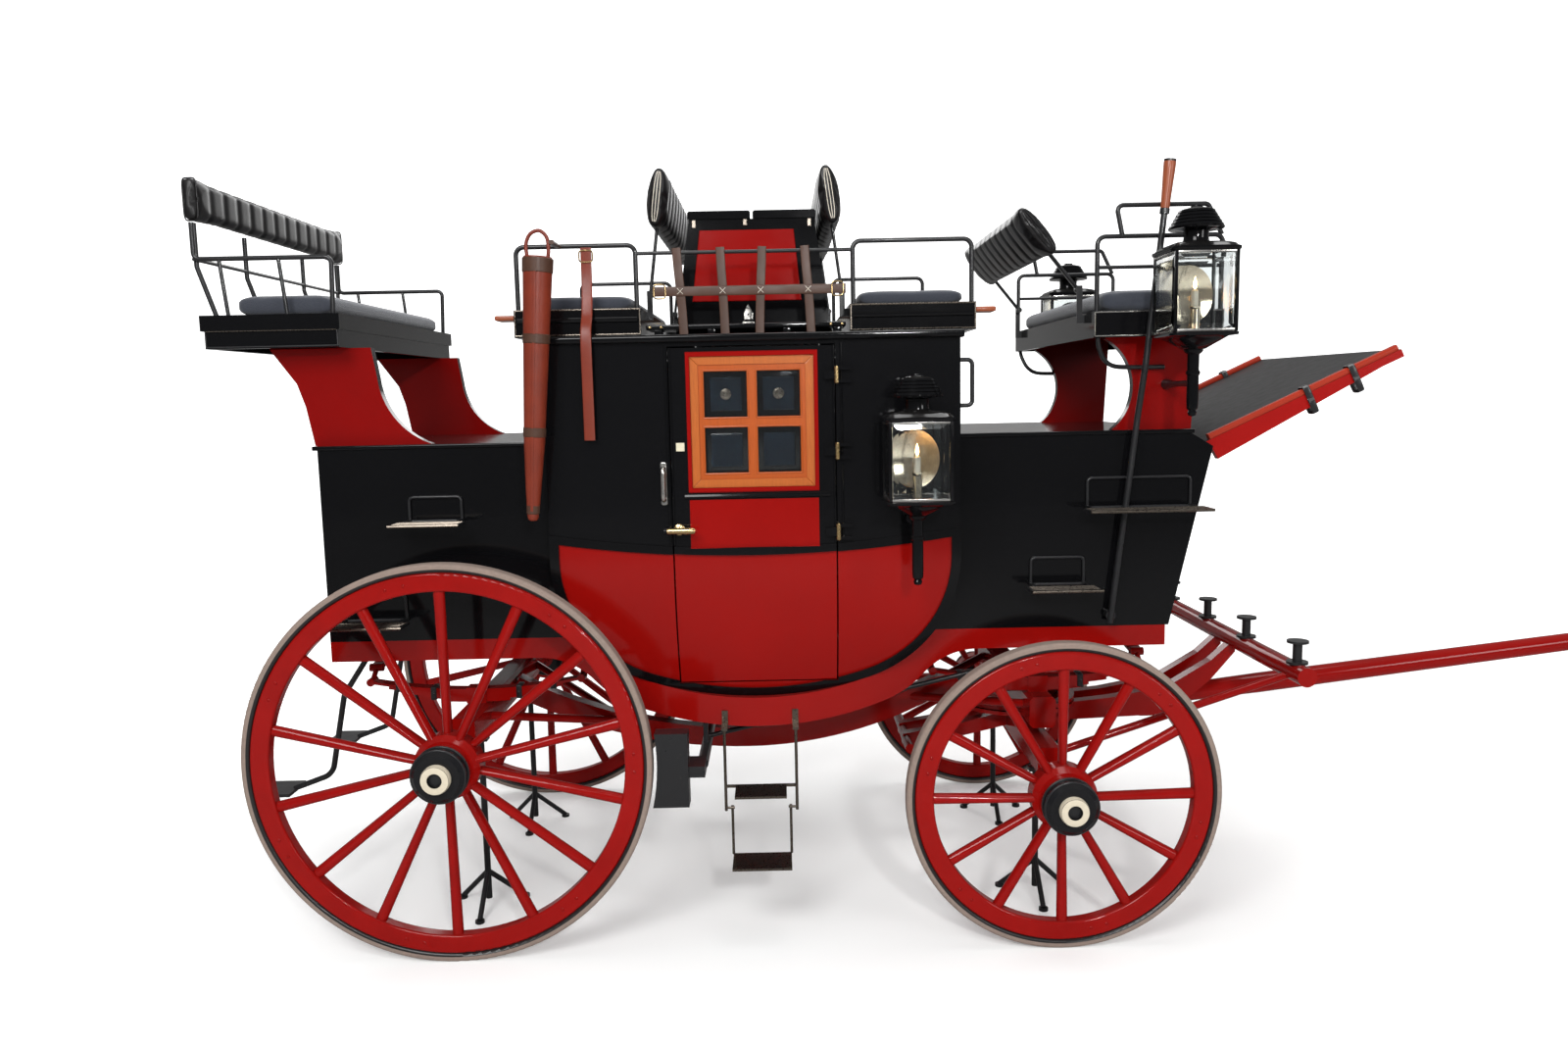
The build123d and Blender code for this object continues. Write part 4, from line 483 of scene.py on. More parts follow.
@dataclass(frozen=True)
class SashWood(Finish):
    """Orange stained wood under varnish, with its grain upright."""

    def nodes(self, shader: Shader) -> None:
        """Long grain streaks in the stain."""
        streak = shader.noise(30.0, 7.0, shader.stretch((7.0, 7.0, 0.5)))
        dark = tuple(c * 0.62 for c in self.colour)
        shader.set(Base_Color=shader.mix(streak, dark, self.colour))
        shader.set(Roughness=0.3, Coat_Weight=0.2, Coat_Roughness=0.05, Coat_IOR=1.4, IOR=1.38)
        shader.bump(streak, 0.1, 0.0008)


@dataclass(frozen=True)
class PaneGlass(Finish):
    """Clear old glass, slightly wavy."""

    def nodes(self, shader: Shader) -> None:
        """Thin clear pane with a ripple."""
        shader.set(Base_Color=self.colour, Roughness=self.gloss, IOR=1.5, Transmission_Weight=1.0)
        shader.bump(shader.noise(12.0, 2.0), 0.08, 0.002)


@dataclass(frozen=True)
class Gloss(Finish):
    """Smooth enamel or wax of one plain colour with slight mottling."""

    def nodes(self, shader: Shader) -> None:
        """Two close tones and an even shine."""
        shader.set(Base_Color=shader.mottled(self.colour, 0.8, 60.0, 4.0), Roughness=self.gloss)
        shader.bump(shader.noise(220.0, 3.0), 0.08, 0.0005)


@dataclass(frozen=True)
class Flame(Finish):
    """Small glowing candle flame, painted light: its glow lights the lamp from inside and stands in
    for warm reflections in the lamp's glass.
    """

    tip: Colour = (1.0, 0.7, 0.32)
    strength: float = 26.0

    def nodes(self, shader: Shader) -> None:
        """Orange and pale yellow tongues that glow as painted light."""
        tone = shader.mix(shader.noise(90.0, 2.0), self.colour, self.tip)
        shader.set(Base_Color=tone, Roughness=self.gloss)
        # The emission is painted light: a glow standing in for warm reflections in the lamp's
        # glass.
        shader.set(Emission_Color=tone, Emission_Strength=self.strength)
        shader.bump(shader.noise(200.0, 2.0), 0.1, 0.0005)


class Palette:
    """Finishes of the coach's pieces."""

    BLACK = Varnish("CoachBlack", "black", (0.0035, 0.0035, 0.004), 0.09)
    RED = Varnish("CoachRed", "red", (0.25, 0.0035, 0.0025), 0.11)
    RISER = RiserPaint("RiserPaint", "red", (0.2, 0.0025, 0.002), 0.15)
    BODY = BodyPaint("CabinPaint", "black", (0.0035, 0.0035, 0.004), 0.09)
    FOOTBOARD = FootboardPaint("FootboardPaint", "red", (0.007, 0.007, 0.008), 0.2)
    RAIL = Varnish("RailRed", "red", (0.33, 0.03, 0.014), 0.2)
    IRON = Iron("BlackIron", "iron", (0.012, 0.012, 0.013), 0.2)
    NICKEL = Metal("Nickel", "steel", (0.74, 0.72, 0.68), 0.2)
    STEP = Metal("StepSteel", "iron", (0.2, 0.17, 0.14), 0.26)
    BRASS = Metal("Brass", "steel", (0.78, 0.56, 0.27), 0.22)
    SILVER = Metal("LampSilver", "steel", (0.9, 0.8, 0.62), 0.12)
    EDGE = Metal("SeatEdge", "steel", (0.34, 0.29, 0.24), 0.24)
    PAD = Leather("PadLeather", "leather", (0.009, 0.008, 0.0085), 0.34)
    TAN = Leather("CaseLeather", "leather", (0.21, 0.03, 0.013), 0.34, 500.0)
    BROWN = Leather("StrapLeather", "leather", (0.08, 0.037, 0.023), 0.36, 600.0)
    CLOTH = BoxCloth("BoxCloth", "cloth", (0.035, 0.04, 0.055))
    SASH = SashWood("SashWood", "orange", (0.42, 0.078, 0.009))
    # Lighter copy of the sash wood for the sash's outer frame: a painted highlight on its raised
    # rail.
    SASH_PAINTED_HIGHLIGHT = SashWood("SashWoodPaintedHighlight", "orange", (0.45, 0.11, 0.018))
    GRIP = SashWood("GripWood", "leather", (0.3, 0.075, 0.03))
    GLASS = PaneGlass("PaneGlass", "glass", (0.94, 0.97, 0.97), 0.02)
    SHUTTER = Gloss("ShutterBlue", "black", (0.009, 0.018, 0.03), 0.12)
    CREAM = Gloss("CapCream", "steel", (0.62, 0.55, 0.42), 0.3)
    WAX = Gloss("CandleWax", "steel", (0.82, 0.76, 0.62), 0.45)
    PIPING = Gloss("CreamPiping", "leather", (0.66, 0.6, 0.5), 0.55)
    IVORY = Gloss("IvoryPlate", "steel", (0.62, 0.57, 0.42), 0.3)
    # Glowing flame inside each lamp: painted light standing in for warm reflections in the lamp's
    # glass.
    FLAME = Flame("CandleFlamePaintedGlow", "steel", (1.0, 0.4, 0.09), 0.6)


# Surfaces as arrays of points


def place(points: Array) -> Array:
    """Moves points from the coach's frame into the row frame."""
    return np.asarray(points, float) + np.array([REAR_AXLE_X, 0.0, 0.0])


def full_turn(count: int) -> Array:
    """Angles of points spread evenly round a circle."""
    return np.linspace(0, 2 * np.pi, count, endpoint=False)


def superellipse(turn: Array, power: float) -> Array:
    """Reach of a rounded square of half width 1: r = (|cos t|^n + |sin t|^n)^(-1/n)."""
    return 1 / (np.abs(np.cos(turn)) ** power + np.abs(np.sin(turn)) ** power) ** (1 / power)


def signed_power(value: Array, power: float) -> Array:
    """A value raised to a power with its sign kept."""
    return np.sign(value) * np.abs(value) ** power


def skin(
    name: str, grid: Array, finish: Finish, body: str, closed: bool = False, smooth: bool = True
) -> Piece:
    """Turns a grid of points into one closed piece.

    The grid's second direction always wraps round. Its first direction either wraps too, or ends
    in a pole at the middle of its first and last ring.

    Args:
        name: name of the piece.
        grid: points with shape (rings, points of a ring, 3), in the coach's frame.
        finish: what the piece is finished in.
        body: CAD body that it rides on.
        closed: whether the last ring joins the first.
        smooth: whether its faces are shaded smooth.

    Returns:
        The new object.
    """
    rings, around = grid.shape[:2]
    points = grid.reshape(-1, 3)
    quads, caps = grid_faces(rings, around, closed)
    if not closed:
        points = np.vstack([points, grid[0].mean(0), grid[-1].mean(0)])
    return mesh_piece(name, points, quads.tolist() + caps.tolist(), finish, body, smooth)


def grid_faces(rings: int, around: int, closed: bool) -> tuple[Array, Array]:
    """Faces of a grid of rings: its quads, and the triangles of its two end caps.

    Args:
        rings: number of rings.
        around: points of a ring.
        closed: whether the last ring joins the first, so that there are no caps.

    Returns:
        Quads and triangles, whose poles come after the rings' points.
    """
    i = np.arange(rings if closed else rings - 1)[:, None]
    j = np.arange(around)[None, :]
    k, after = (i + 1) % rings, (j + 1) % around
    quads = np.stack(np.broadcast_arrays(i * around + j, i * around + after, k * around + after,
                                         k * around + j), -1).reshape(-1, 4)
    if closed:
        return quads, np.zeros((0, 3), int)
    ring = np.arange(around)
    turn = (ring + 1) % around
    last = (rings - 1) * around
    low = np.stack([turn, ring, np.full(around, rings * around)], -1)
    high = np.stack([ring + last, turn + last, np.full(around, rings * around + 1)], -1)
    return quads, np.vstack([low, high])


def mesh_piece(
    name: str, points: Array, faces: list, finish: Finish, body: str, smooth: bool = True
) -> Piece:
    """Makes a closed mesh with outward faces, gives it its finish and lets it ride on a body."""
    mesh = bpy.data.meshes.new(name)
    mesh.from_pydata(place(points).tolist(), [], faces)
    shape = bmesh.new()
    shape.from_mesh(mesh)
    bmesh.ops.remove_doubles(shape, verts=shape.verts, dist=1e-6)
    bmesh.ops.recalc_face_normals(shape, faces=shape.faces)
    shape.to_mesh(mesh)
    shape.free()
    mesh.polygons.foreach_set("use_smooth", np.full(len(mesh.polygons), smooth))
    piece = bpy.data.objects.new(name, mesh)
    bpy.context.scene.collection.objects.link(piece)
    if smooth:
        keep_edges(piece)
    return finished(piece, finish, body)


def keep_edges(piece: Piece, angle: float = 38.0) -> None:
    """Keeps edges crisp where faces meet at more than an angle."""
    piece.data.set_sharp_from_angle(angle=math.radians(angle))


def coat(piece: Piece, finish: Finish) -> None:
    """Gives an object one finish."""
    piece.data.materials.clear()
    piece.data.materials.append(finish.material())


def finished(piece: Piece, finish: Finish, body: str) -> Piece:
    """Gives a piece its material and lets it ride on a body."""
    coat(piece, finish)
    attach(piece, body)
    LOG.info("%s rides on %s in %s", piece.name, body, finish.name)
    return piece


def merged(name: str, pieces: list[Piece]) -> Piece:
    """Joins pieces of one body into one object, keeping each one's material."""
    first, *rest = pieces
    if rest:
        with bpy.context.temp_override(
            active_object=first, selected_editable_objects=pieces, selected_objects=pieces
        ):
            bpy.ops.object.join()
    first.name = first.data.name = name
    return first


def smooth_path(points: list, steps: int = 8) -> Array:
    """Curve through control points, on Catmull-Rom cubics between neighbours.

    Args:
        points: control points.
        steps: points on each stretch.

    Returns:
        Points along the curve.
    """
    p = np.asarray(points, float)
    p = np.vstack([2 * p[0] - p[1], p, 2 * p[-1] - p[-2]])
    t = np.linspace(0, 1, steps, endpoint=False)[None, :, None]
    a, b, c, d = (p[i : len(p) - 3 + i][:, None] for i in range(4))
    square, cube = 2 * a - 5 * b + 4 * c - d, 3 * b - a - 3 * c + d
    curve = 0.5 * (2 * b + (c - a) * t + square * t**2 + cube * t**3)
    return np.vstack([curve.reshape(-1, 3), p[-2]])


def moving_frames(path: Array, across: Point) -> tuple[Array, Array]:
    """Two directions square to a path: one nearest to `across`, and one square to both."""
    tangent = np.gradient(path, axis=0)
    tangent /= np.linalg.norm(tangent, axis=1, keepdims=True)
    wide = np.array(across) - (tangent @ np.array(across))[:, None] * tangent
    wide /= np.linalg.norm(wide, axis=1, keepdims=True)
    return wide, np.cross(tangent, wide)


def carried(path: Array, u: Array, v: Array, across: Point) -> Array:
    """A section carried along a path: p + u wide + v thick, in the path's moving frame.

    Args:
        path: points along the path.
        u: the section's distances along `across`, for each of the path's points or for all.
        v: its distances square to that.
        across: direction that the section's width stays nearest to.

    Returns:
        Grid of rings.
    """
    wide, thick = moving_frames(np.asarray(path, float), across)
    return np.asarray(path)[:, None] + u[..., None] * wide[:, None] + v[..., None] * thick[:, None]


def tube(
    name: str, path: Array, radius: object, finish: Finish, body: str,
    across: Point = ACROSS, sides: int = 14,
) -> Piece:
    """Round bar: a circle of the given radius carried along a path."""
    turn = full_turn(sides)
    r = np.broadcast_to(np.asarray(radius, float), (len(path),))[:, None]
    return skin(name, carried(path, r * np.cos(turn), r * np.sin(turn), across), finish, body)


def strap(
    name: str, path: Array, width: float, thick: float, finish: Finish, body: str, across: Point,
) -> Piece:
    """Flat strap: a stadium-shaped section carried along a path, its width along `across`."""
    turn = full_turn(16)
    u = signed_power(np.cos(turn), 0.35) * width / 2
    grid = carried(path, u[None, :], (np.sin(turn) * thick / 2)[None, :], across)
    return skin(name, grid, finish, body)


def turned(
    name: str, profile: list, centre: Point, axis: str, finish: Finish, body: str,
    sides: int = 40, way: float = 1.0, closed: bool = False,
) -> Piece:
    """Lathe piece: (radius, distance) profile turned about an axis through a centre.

    Args:
        name: name of the piece.
        profile: radius and distance along the axis of each ring.
        centre: where distance 0 lies, in the coach's frame.
        axis: "Y" or "Z".
        finish: what the piece is finished in.
        body: CAD body that it rides on.
        sides: points round each ring.
        way: 1 or -1, the direction of the axis.
        closed: whether the profile closes on itself, as a ring's does.

    Returns:
        The new object.
    """
    radius, along = np.asarray(profile, float).T
    turn = full_turn(sides)
    u = radius[:, None] * np.cos(turn)
    v = radius[:, None] * np.sin(turn)
    w = np.broadcast_to(along[:, None] * way, u.shape)
    order = {"Y": (u, w, v), "Z": (u, v, w)}[axis]
    return skin(name, np.stack(order, -1) + np.array(centre), finish, body, closed)


def squared(
    name: str, profile: list, centre: Point, finish: Finish, body: str, sides: int = 48
) -> Piece:
    """Lathe piece about Z whose rings are superellipses: |x|^n + |y|^n = r^n.

    Args:
        name: name of the piece.
        profile: (half width, height, exponent n) of each ring; 2 is a circle, 20 almost a square.
        centre: where height 0 lies, in the coach's frame.
        finish: what the piece is finished in.
        body: CAD body that it rides on.
        sides: points round each ring.

    Returns:
        The new object.
    """
    half, height, power = (column[:, None] for column in np.asarray(profile, float).T)
    turn = full_turn(sides) + np.pi / sides
    reach = half * superellipse(turn, power)
    flat = np.broadcast_to(height, reach.shape)
    grid = np.stack([reach * np.cos(turn), reach * np.sin(turn), flat], -1)
    return skin(name, grid + np.array(centre), finish, body)


def slab(
    name: str, x: Pair, y: Pair, z: Pair, finish: Finish, body: str, ease: float = 0.002
) -> Piece:
    """Board between two corners: a box on a grid of rings, its edges rounded by `ease`."""
    middle = np.array([sum(x), sum(y), sum(z)]) / 2
    half = np.array([x[1] - x[0], y[1] - y[0], z[1] - z[0]]) / 2
    ease = min(ease, *half * 0.98)
    corner = half - ease
    turn = np.linspace(0, np.pi / 2, 4)
    quarter = np.concatenate([turn + k * np.pi / 2 for k in range(4)])
    sign_x = np.repeat([1, -1, -1, 1], 4)
    sign_y = np.repeat([1, 1, -1, -1], 4)
    lift = np.linspace(-np.pi / 2, 0, 4)
    rings = []
    for side, angles in ((-1, lift), (1, -lift[::-1])):
        reach = ease * np.cos(angles)[:, None]
        u = sign_x * corner[0] + reach * np.cos(quarter)
        v = sign_y * corner[1] + reach * np.sin(quarter)
        w = np.broadcast_to(side * corner[2] + (ease * np.sin(angles))[:, None], u.shape)
        rings.append(np.stack([u, v, w], -1))
    return skin(name, np.concatenate(rings) + middle, finish, body)


def span(low: float, high: float, side: Side) -> Pair:
    """Y limits of a left-side piece, in order, on the given side."""
    ends = sorted((low * side.value, high * side.value))
    return ends[0], ends[1]


def about(middle: float, half: float) -> Pair:
    """Limits at the same distance below and above a middle."""
    return middle - half, middle + half


def on_side(points: object, side: Side) -> Array:
    """Left-side points put on the given side."""
    return np.asarray(points, float) * np.array([1.0, side.value, 1.0])


def raised(
    name: str, corners: Array, out: Point, thick: float, finish: Finish, body: str,
    ease: float = 0.0015,
) -> Piece:
    """Plate on a flat wall, `thick` along `out`, its outline drawn in by `ease` at the top."""
    corner = np.asarray(corners, float)
    normal = np.asarray(out, float) / np.linalg.norm(out)
    inward = corner.mean(0) - corner
    inward /= np.linalg.norm(inward, axis=1, keepdims=True)
    inset = np.array([0.0, 0.0, 0.3, 1.0])[:, None, None] * ease * 1.4
    lift = np.array([-0.001, thick - ease, thick - 0.3 * ease, thick])[:, None, None]
    return skin(name, corner + inset * inward + lift * normal, finish, body, smooth=False)


def bars(
    name: str, corners: Array, radius: float, finish: Finish, body: str, loop: bool = True
) -> list[Piece]:
    """Round beads from each corner to the next, and back to the first where they loop."""
    corner = np.asarray(corners, float)
    ends = np.roll(corner, -1, axis=0)
    share = np.linspace(0, 1, 4)[:, None]
    pieces = []
    for start, end in list(zip(corner, ends))[: None if loop else -1]:
        along = end - start
        level = abs(along[2]) < 0.5 * np.linalg.norm(along)
        path = start + share * along
        across = UP if level else ACROSS
        pieces.append(tube(name, path, radius, finish, body, across, 8))
    return pieces


def studs(
    name: str, centres: Array, out: Point, radius: float, height: float, finish: Finish, body: str
) -> Piece:
    """Low domed bolt heads: r = R cos t and h = H sin t turned about `out` at every centre."""
    normal = np.asarray(out, float) / np.linalg.norm(out)
    side = np.cross(normal, UP if abs(normal[2]) < 0.9 else FORWARD)
    side /= np.linalg.norm(side)
    root, rings, sides = 0.002, 5, 12
    t = np.linspace(0, np.pi / 2, rings)[:-1]
    ring_r = np.append(radius, radius * np.cos(t))[:, None, None]
    ring_h = np.append(-root, height * np.sin(t))[:, None, None]
    turn = full_turn(sides)[None, :, None]
    round_out = np.cos(turn) * side + np.sin(turn) * np.cross(normal, side)
    ring = ring_r * round_out + ring_h * normal
    one = np.vstack([ring.reshape(-1, 3), [normal * -root, normal * height]])
    points = (np.asarray(centres, float)[:, None] + one[None]).reshape(-1, 3)
    shift = (np.arange(len(centres)) * len(one))[:, None, None]
    faces = []
    for group in grid_faces(rings, sides, False):
        faces += (group[None] + shift).reshape(-1, group.shape[1]).tolist()
    return mesh_piece(name, points, faces, finish, body)


# Soft pieces


@dataclass
class Pad:
    """Stuffed pad: a superellipse section carried across the coach, then swollen by cloth pressure.

    Its section is |u/a|^n + |w/c|^n = 1 and shrinks towards each end by (1 - |y/b|^24)^(1/24).
    """

    name: str
    middle: Point
    half: Point
    finish: Finish
    body: str
    lean: float = 0.0
    buttons: tuple[int, int] = (0, 0)
    face: str = "Z"
    power: float = 5.0
    end_power: int = 24
    swell: float = 0.008
    voxel: float = 0.008
    pressure: float = 4.0
    frames: int = 12
    fill: float = 0.7

    def start(self) -> Piece:
        """The pad before it is stuffed, a little smaller than it ends."""
        around = full_turn(72)[None, :]
        share = np.sin(np.linspace(-np.pi / 2, np.pi / 2, 44)[1:-1, None])
        shrink = (1 - np.abs(share) ** self.end_power) ** (1 / self.end_power)
        a, b, c = (h - min(self.swell * 0.6, h * 0.3) for h in self.half)
        grid = np.stack([
            a * shrink * signed_power(np.cos(around), 2 / self.power),
            np.broadcast_to(b * share, (len(share), around.shape[1])),
            c * shrink * signed_power(np.sin(around), 2 / self.power),
        ], -1)
        if self.face == "X":
            grid = grid[..., [2, 1, 0]]
        grid = self.leaned(grid, self.lean) + np.array(self.middle)
        return skin(self.name, grid, self.finish, self.body)

    @staticmethod
    def leaned(points: Array, angle: float) -> Array:
        """Points turned about Y: x' = x cos + z sin and z' = z cos - x sin."""
        c, s = math.cos(angle), math.sin(angle)
        x, y, z = np.moveaxis(points, -1, 0)
        return np.stack([x * c + z * s, y, z * c - x * s], -1)

    def build(self) -> Piece:
        """Makes, stuffs and buttons the pad.

        Returns:
            The finished pad.
        """
        pad = self.start()
        self.stuff(pad)
        self.pull_buttons(pad)
        return pad

    def stuff(self, pad: Piece) -> None:
        """Remeshes the pad and swells it with cloth pressure, with a cap on each point's move."""
        remesh = pad.modifiers.new("even", "REMESH")
        remesh.mode = "VOXEL"
        remesh.voxel_size = self.voxel
        bake(pad)
        before = read_points(pad.data)
        cloth = pad.modifiers.new("stuffing", "CLOTH")
        cloth.settings.use_pressure = True
        cloth.settings.uniform_pressure_force = self.pressure
        cloth.settings.effector_weights.gravity = 0.0
        for step in range(1, self.frames + 1):
            bpy.context.scene.frame_set(step)
        bake(pad)
        bpy.context.scene.frame_set(1)
        move = read_points(pad.data) - before
        length = np.linalg.norm(move, axis=1, keepdims=True)
        move *= np.minimum(1.0, self.swell / np.maximum(length, 1e-9))
        write_points(pad.data, before + move)

    def pull_buttons(self, pad: Piece) -> None:
        """Sinks the pad's faces along its sewing, fading out towards its edges.

        One row of buttons makes soft upright channels, more rows a diamond of creases.
        """
        rows, columns = self.buttons
        if rows * columns == 0:
            return
        middle = place(np.array(self.middle))
        local = self.leaned(read_points(pad.data) - middle, -self.lean)
        up, out = (2, 0) if self.face == "X" else (0, 2)
        share_a, share_b = local[:, up] / self.half[0], local[:, 1] / self.half[1]
        a, b = (share_a + 1) * rows / 2, (share_b + 1) * columns / 2
        sink = self.channels(b) if rows == 1 else self.diamonds(a, b)
        edge = np.maximum(np.abs(share_a), np.abs(share_b))
        sink *= np.clip(5 * (1 - edge), 0, 1)
        depth = local[:, out]
        local[:, out] -= np.sign(depth) * np.minimum(sink, np.abs(depth) * 0.7)
        write_points(pad.data, self.leaned(local, self.lean) + middle)

    @staticmethod
    def ridge(value: Array, width: float) -> Array:
        """Bell round each whole number: exp(-((v - round v) / width)^2)."""
        return np.exp(-(((value - np.round(value)) / width) ** 2))

    def channels(self, b: Array) -> Array:
        """Sink of soft upright channels, one at each whole number."""
        return 0.0048 * self.ridge(b, 0.15)

    def diamonds(self, a: Array, b: Array) -> Array:
        """Sink of creases along whole a + b and a - b, with a button wherever two of them cross."""
        crease = np.maximum(self.ridge(a + b, 0.07), self.ridge(a - b, 0.07))
        return 0.006 * crease + 0.012 * self.ridge(a + b, 0.16) * self.ridge(a - b, 0.16)


def read_points(mesh: bpy.types.Mesh) -> Array:
    """A mesh's points as one array."""
    points = np.empty(len(mesh.vertices) * 3)
    mesh.vertices.foreach_get("co", points)
    return points.reshape(-1, 3)


def write_points(mesh: bpy.types.Mesh, points: Array) -> None:
    """Puts an array of points into a mesh."""
    mesh.vertices.foreach_set("co", np.ascontiguousarray(points, dtype=np.float32).ravel())
    mesh.update()


def bake(piece: Piece) -> None:
    """Replaces a piece's mesh by the result of its modifiers, and removes them."""
    shown = piece.evaluated_get(bpy.context.evaluated_depsgraph_get())
    mesh = bpy.data.meshes.new_from_object(shown)
    mesh.polygons.foreach_set("use_smooth", np.ones(len(mesh.polygons), bool))
    old = piece.data
    piece.modifiers.clear()
    piece.data = mesh
    bpy.data.meshes.remove(old)


# Sub-assemblies


@dataclass
class PlainNodes:
    """CAD nodes that keep their shape and only take a finish, by how their names begin."""

    finishes: tuple[tuple[Finish, tuple[str, ...]], ...] = (
        (Palette.BODY, ("cabin_side", "door_left", "door_right")),
        (Palette.SASH, ("door_sash",)),
        (Palette.GLASS, ("door_glass", "lamp_glass")),
        (Palette.RISER, ("seat_risers",)),
        (Palette.FOOTBOARD, ("footboard",)),
        (Palette.NICKEL, ("pole_hook",)),
        (Palette.RED, ("bottom_rails", "fore_carriage", "front_axle", "rear_axle", "transom",
                       "perch", "springs", "pole")),
        (Palette.IRON, ("roof_irons", "end_seat_irons", "body_irons", "brake_gear",
                        "axle_stands", "roller_bolts")),
        (Palette.STEP, ("step_",)),
        (Palette.TAN, ("umbrella_case",)),
        (Palette.BROWN, ("straps",)),
        (Palette.CLOTH, ("seat_cushions", "inside_cushions")),
        (Palette.PAD, ("roof_back", "box_back", "hind_back")),
    )

    def dress(self) -> None:
        """Gives every shown CAD node the finish that its name calls for."""
        for name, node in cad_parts.items():
            found = (finish for finish, starts in self.finishes if name.startswith(starts))
            finish = next(found, Palette.BLACK)
            coat(node, finish)
            LOG.info("CAD node %s in %s", name, finish.name)


@dataclass
class Wheel:
    """One wheel: painted nave and spokes, hub cap, nave bands and felloe bolts.

    Distances along the axis are measured outwards from the wheel's plane. A nave band is its
    radius, its distance and the radius of its bead.
    """

    end: str
    side: Side
    axle_x: float
    radius: float
    spokes: int
    track: float = 0.75
    nave_bands: tuple[Point, ...] = ((0.0835, 0.077, 0.004), (0.0835, 0.112, 0.004),
                                     (0.079, -0.072, 0.003))
    bolt_inset: float = 0.058
    bolt_face: float = 0.0228
    bolt_spread: float = 0.11

    @property
    def tag(self) -> str:
        """End and side of the wheel."""
        return f"{self.end}_{self.side.tag}"

    @property
    def body(self) -> str:
        """CAD body of the wheel."""
        return f"wheel_{self.tag}"

    @property
    def centre(self) -> Point:
        """Middle of the wheel's plane."""
        return (self.axle_x, self.track * self.side.value, self.radius)

    def dress(self) -> None:
        """Paints the CAD wheel and tyre and adds the fittings."""
        tag, centre = self.tag, self.centre
        paint = WheelPaint(f"WheelPaint_{tag}", "red", (0.27, 0.004, 0.003), 0.11, centre=centre)
        rubber = TyreRubber(f"TyreRubber_{tag}", "tyre", (0.27, 0.195, 0.16), centre=centre,
                            radius=self.radius)
        coat(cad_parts[f"wheel_{tag}"], paint)
        coat(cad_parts[f"tyre_{tag}"], rubber)
        self.cap()
        self.bands()
        self.bolts()

    def lathe(
        self, name: str, profile: list, finish: Finish, sides: int, closed: bool = False
    ) -> Piece:
        """Piece turned about the wheel's axis."""
        return turned(name, profile, self.centre, "Y", finish, self.body, sides,
                      self.side.value, closed)

    def cap(self) -> None:
        """Pale cap ring round a dark eye."""
        ring = [(0.0225, 0.1365), (0.0225, 0.1495), (0.0235, 0.1512), (0.040, 0.1512),
                (0.0440, 0.1495), (0.0452, 0.146), (0.0452, 0.128), (0.030, 0.128)]
        eye = [(0.004, 0.1368), (0.0215, 0.1368), (0.0215, 0.1385), (0.013, 0.1405),
               (0.004, 0.1405)]
        merged(f"hub_cap_{self.tag}", [self.lathe("cap", ring, Palette.CREAM, 48),
                                       self.lathe("cap_eye", eye, Palette.IRON, 32)])

    def bands(self) -> None:
        """Iron beads round the nave: small circles turned about the axis."""
        turn = full_turn(10)
        pieces = []
        for radius, along, bead in self.nave_bands:
            profile = np.stack([radius + bead * np.cos(turn), along + bead * np.sin(turn)], -1)
            pieces.append(self.lathe("band", profile, Palette.IRON, 48, True))
        merged(f"nave_bands_{self.tag}", pieces)

    def bolts(self) -> None:
        """Two bolt heads at each joint of the felloes, with one joint for every two spokes."""
        gap = 2 * np.arange(self.spokes // 2)[:, None] + 1.5
        turn = ((gap + self.bolt_spread * np.array([-1, 1])) * 2 * np.pi / self.spokes).ravel()
        ring = self.radius - self.bolt_inset
        face = np.full_like(turn, self.bolt_face * self.side.value)
        heads = np.stack([ring * np.sin(turn), face, ring * np.cos(turn)], -1)
        studs(f"felloe_bolts_{self.tag}", heads + np.array(self.centre), self.side.out, 0.0055,
              0.003, Palette.RED, self.body)


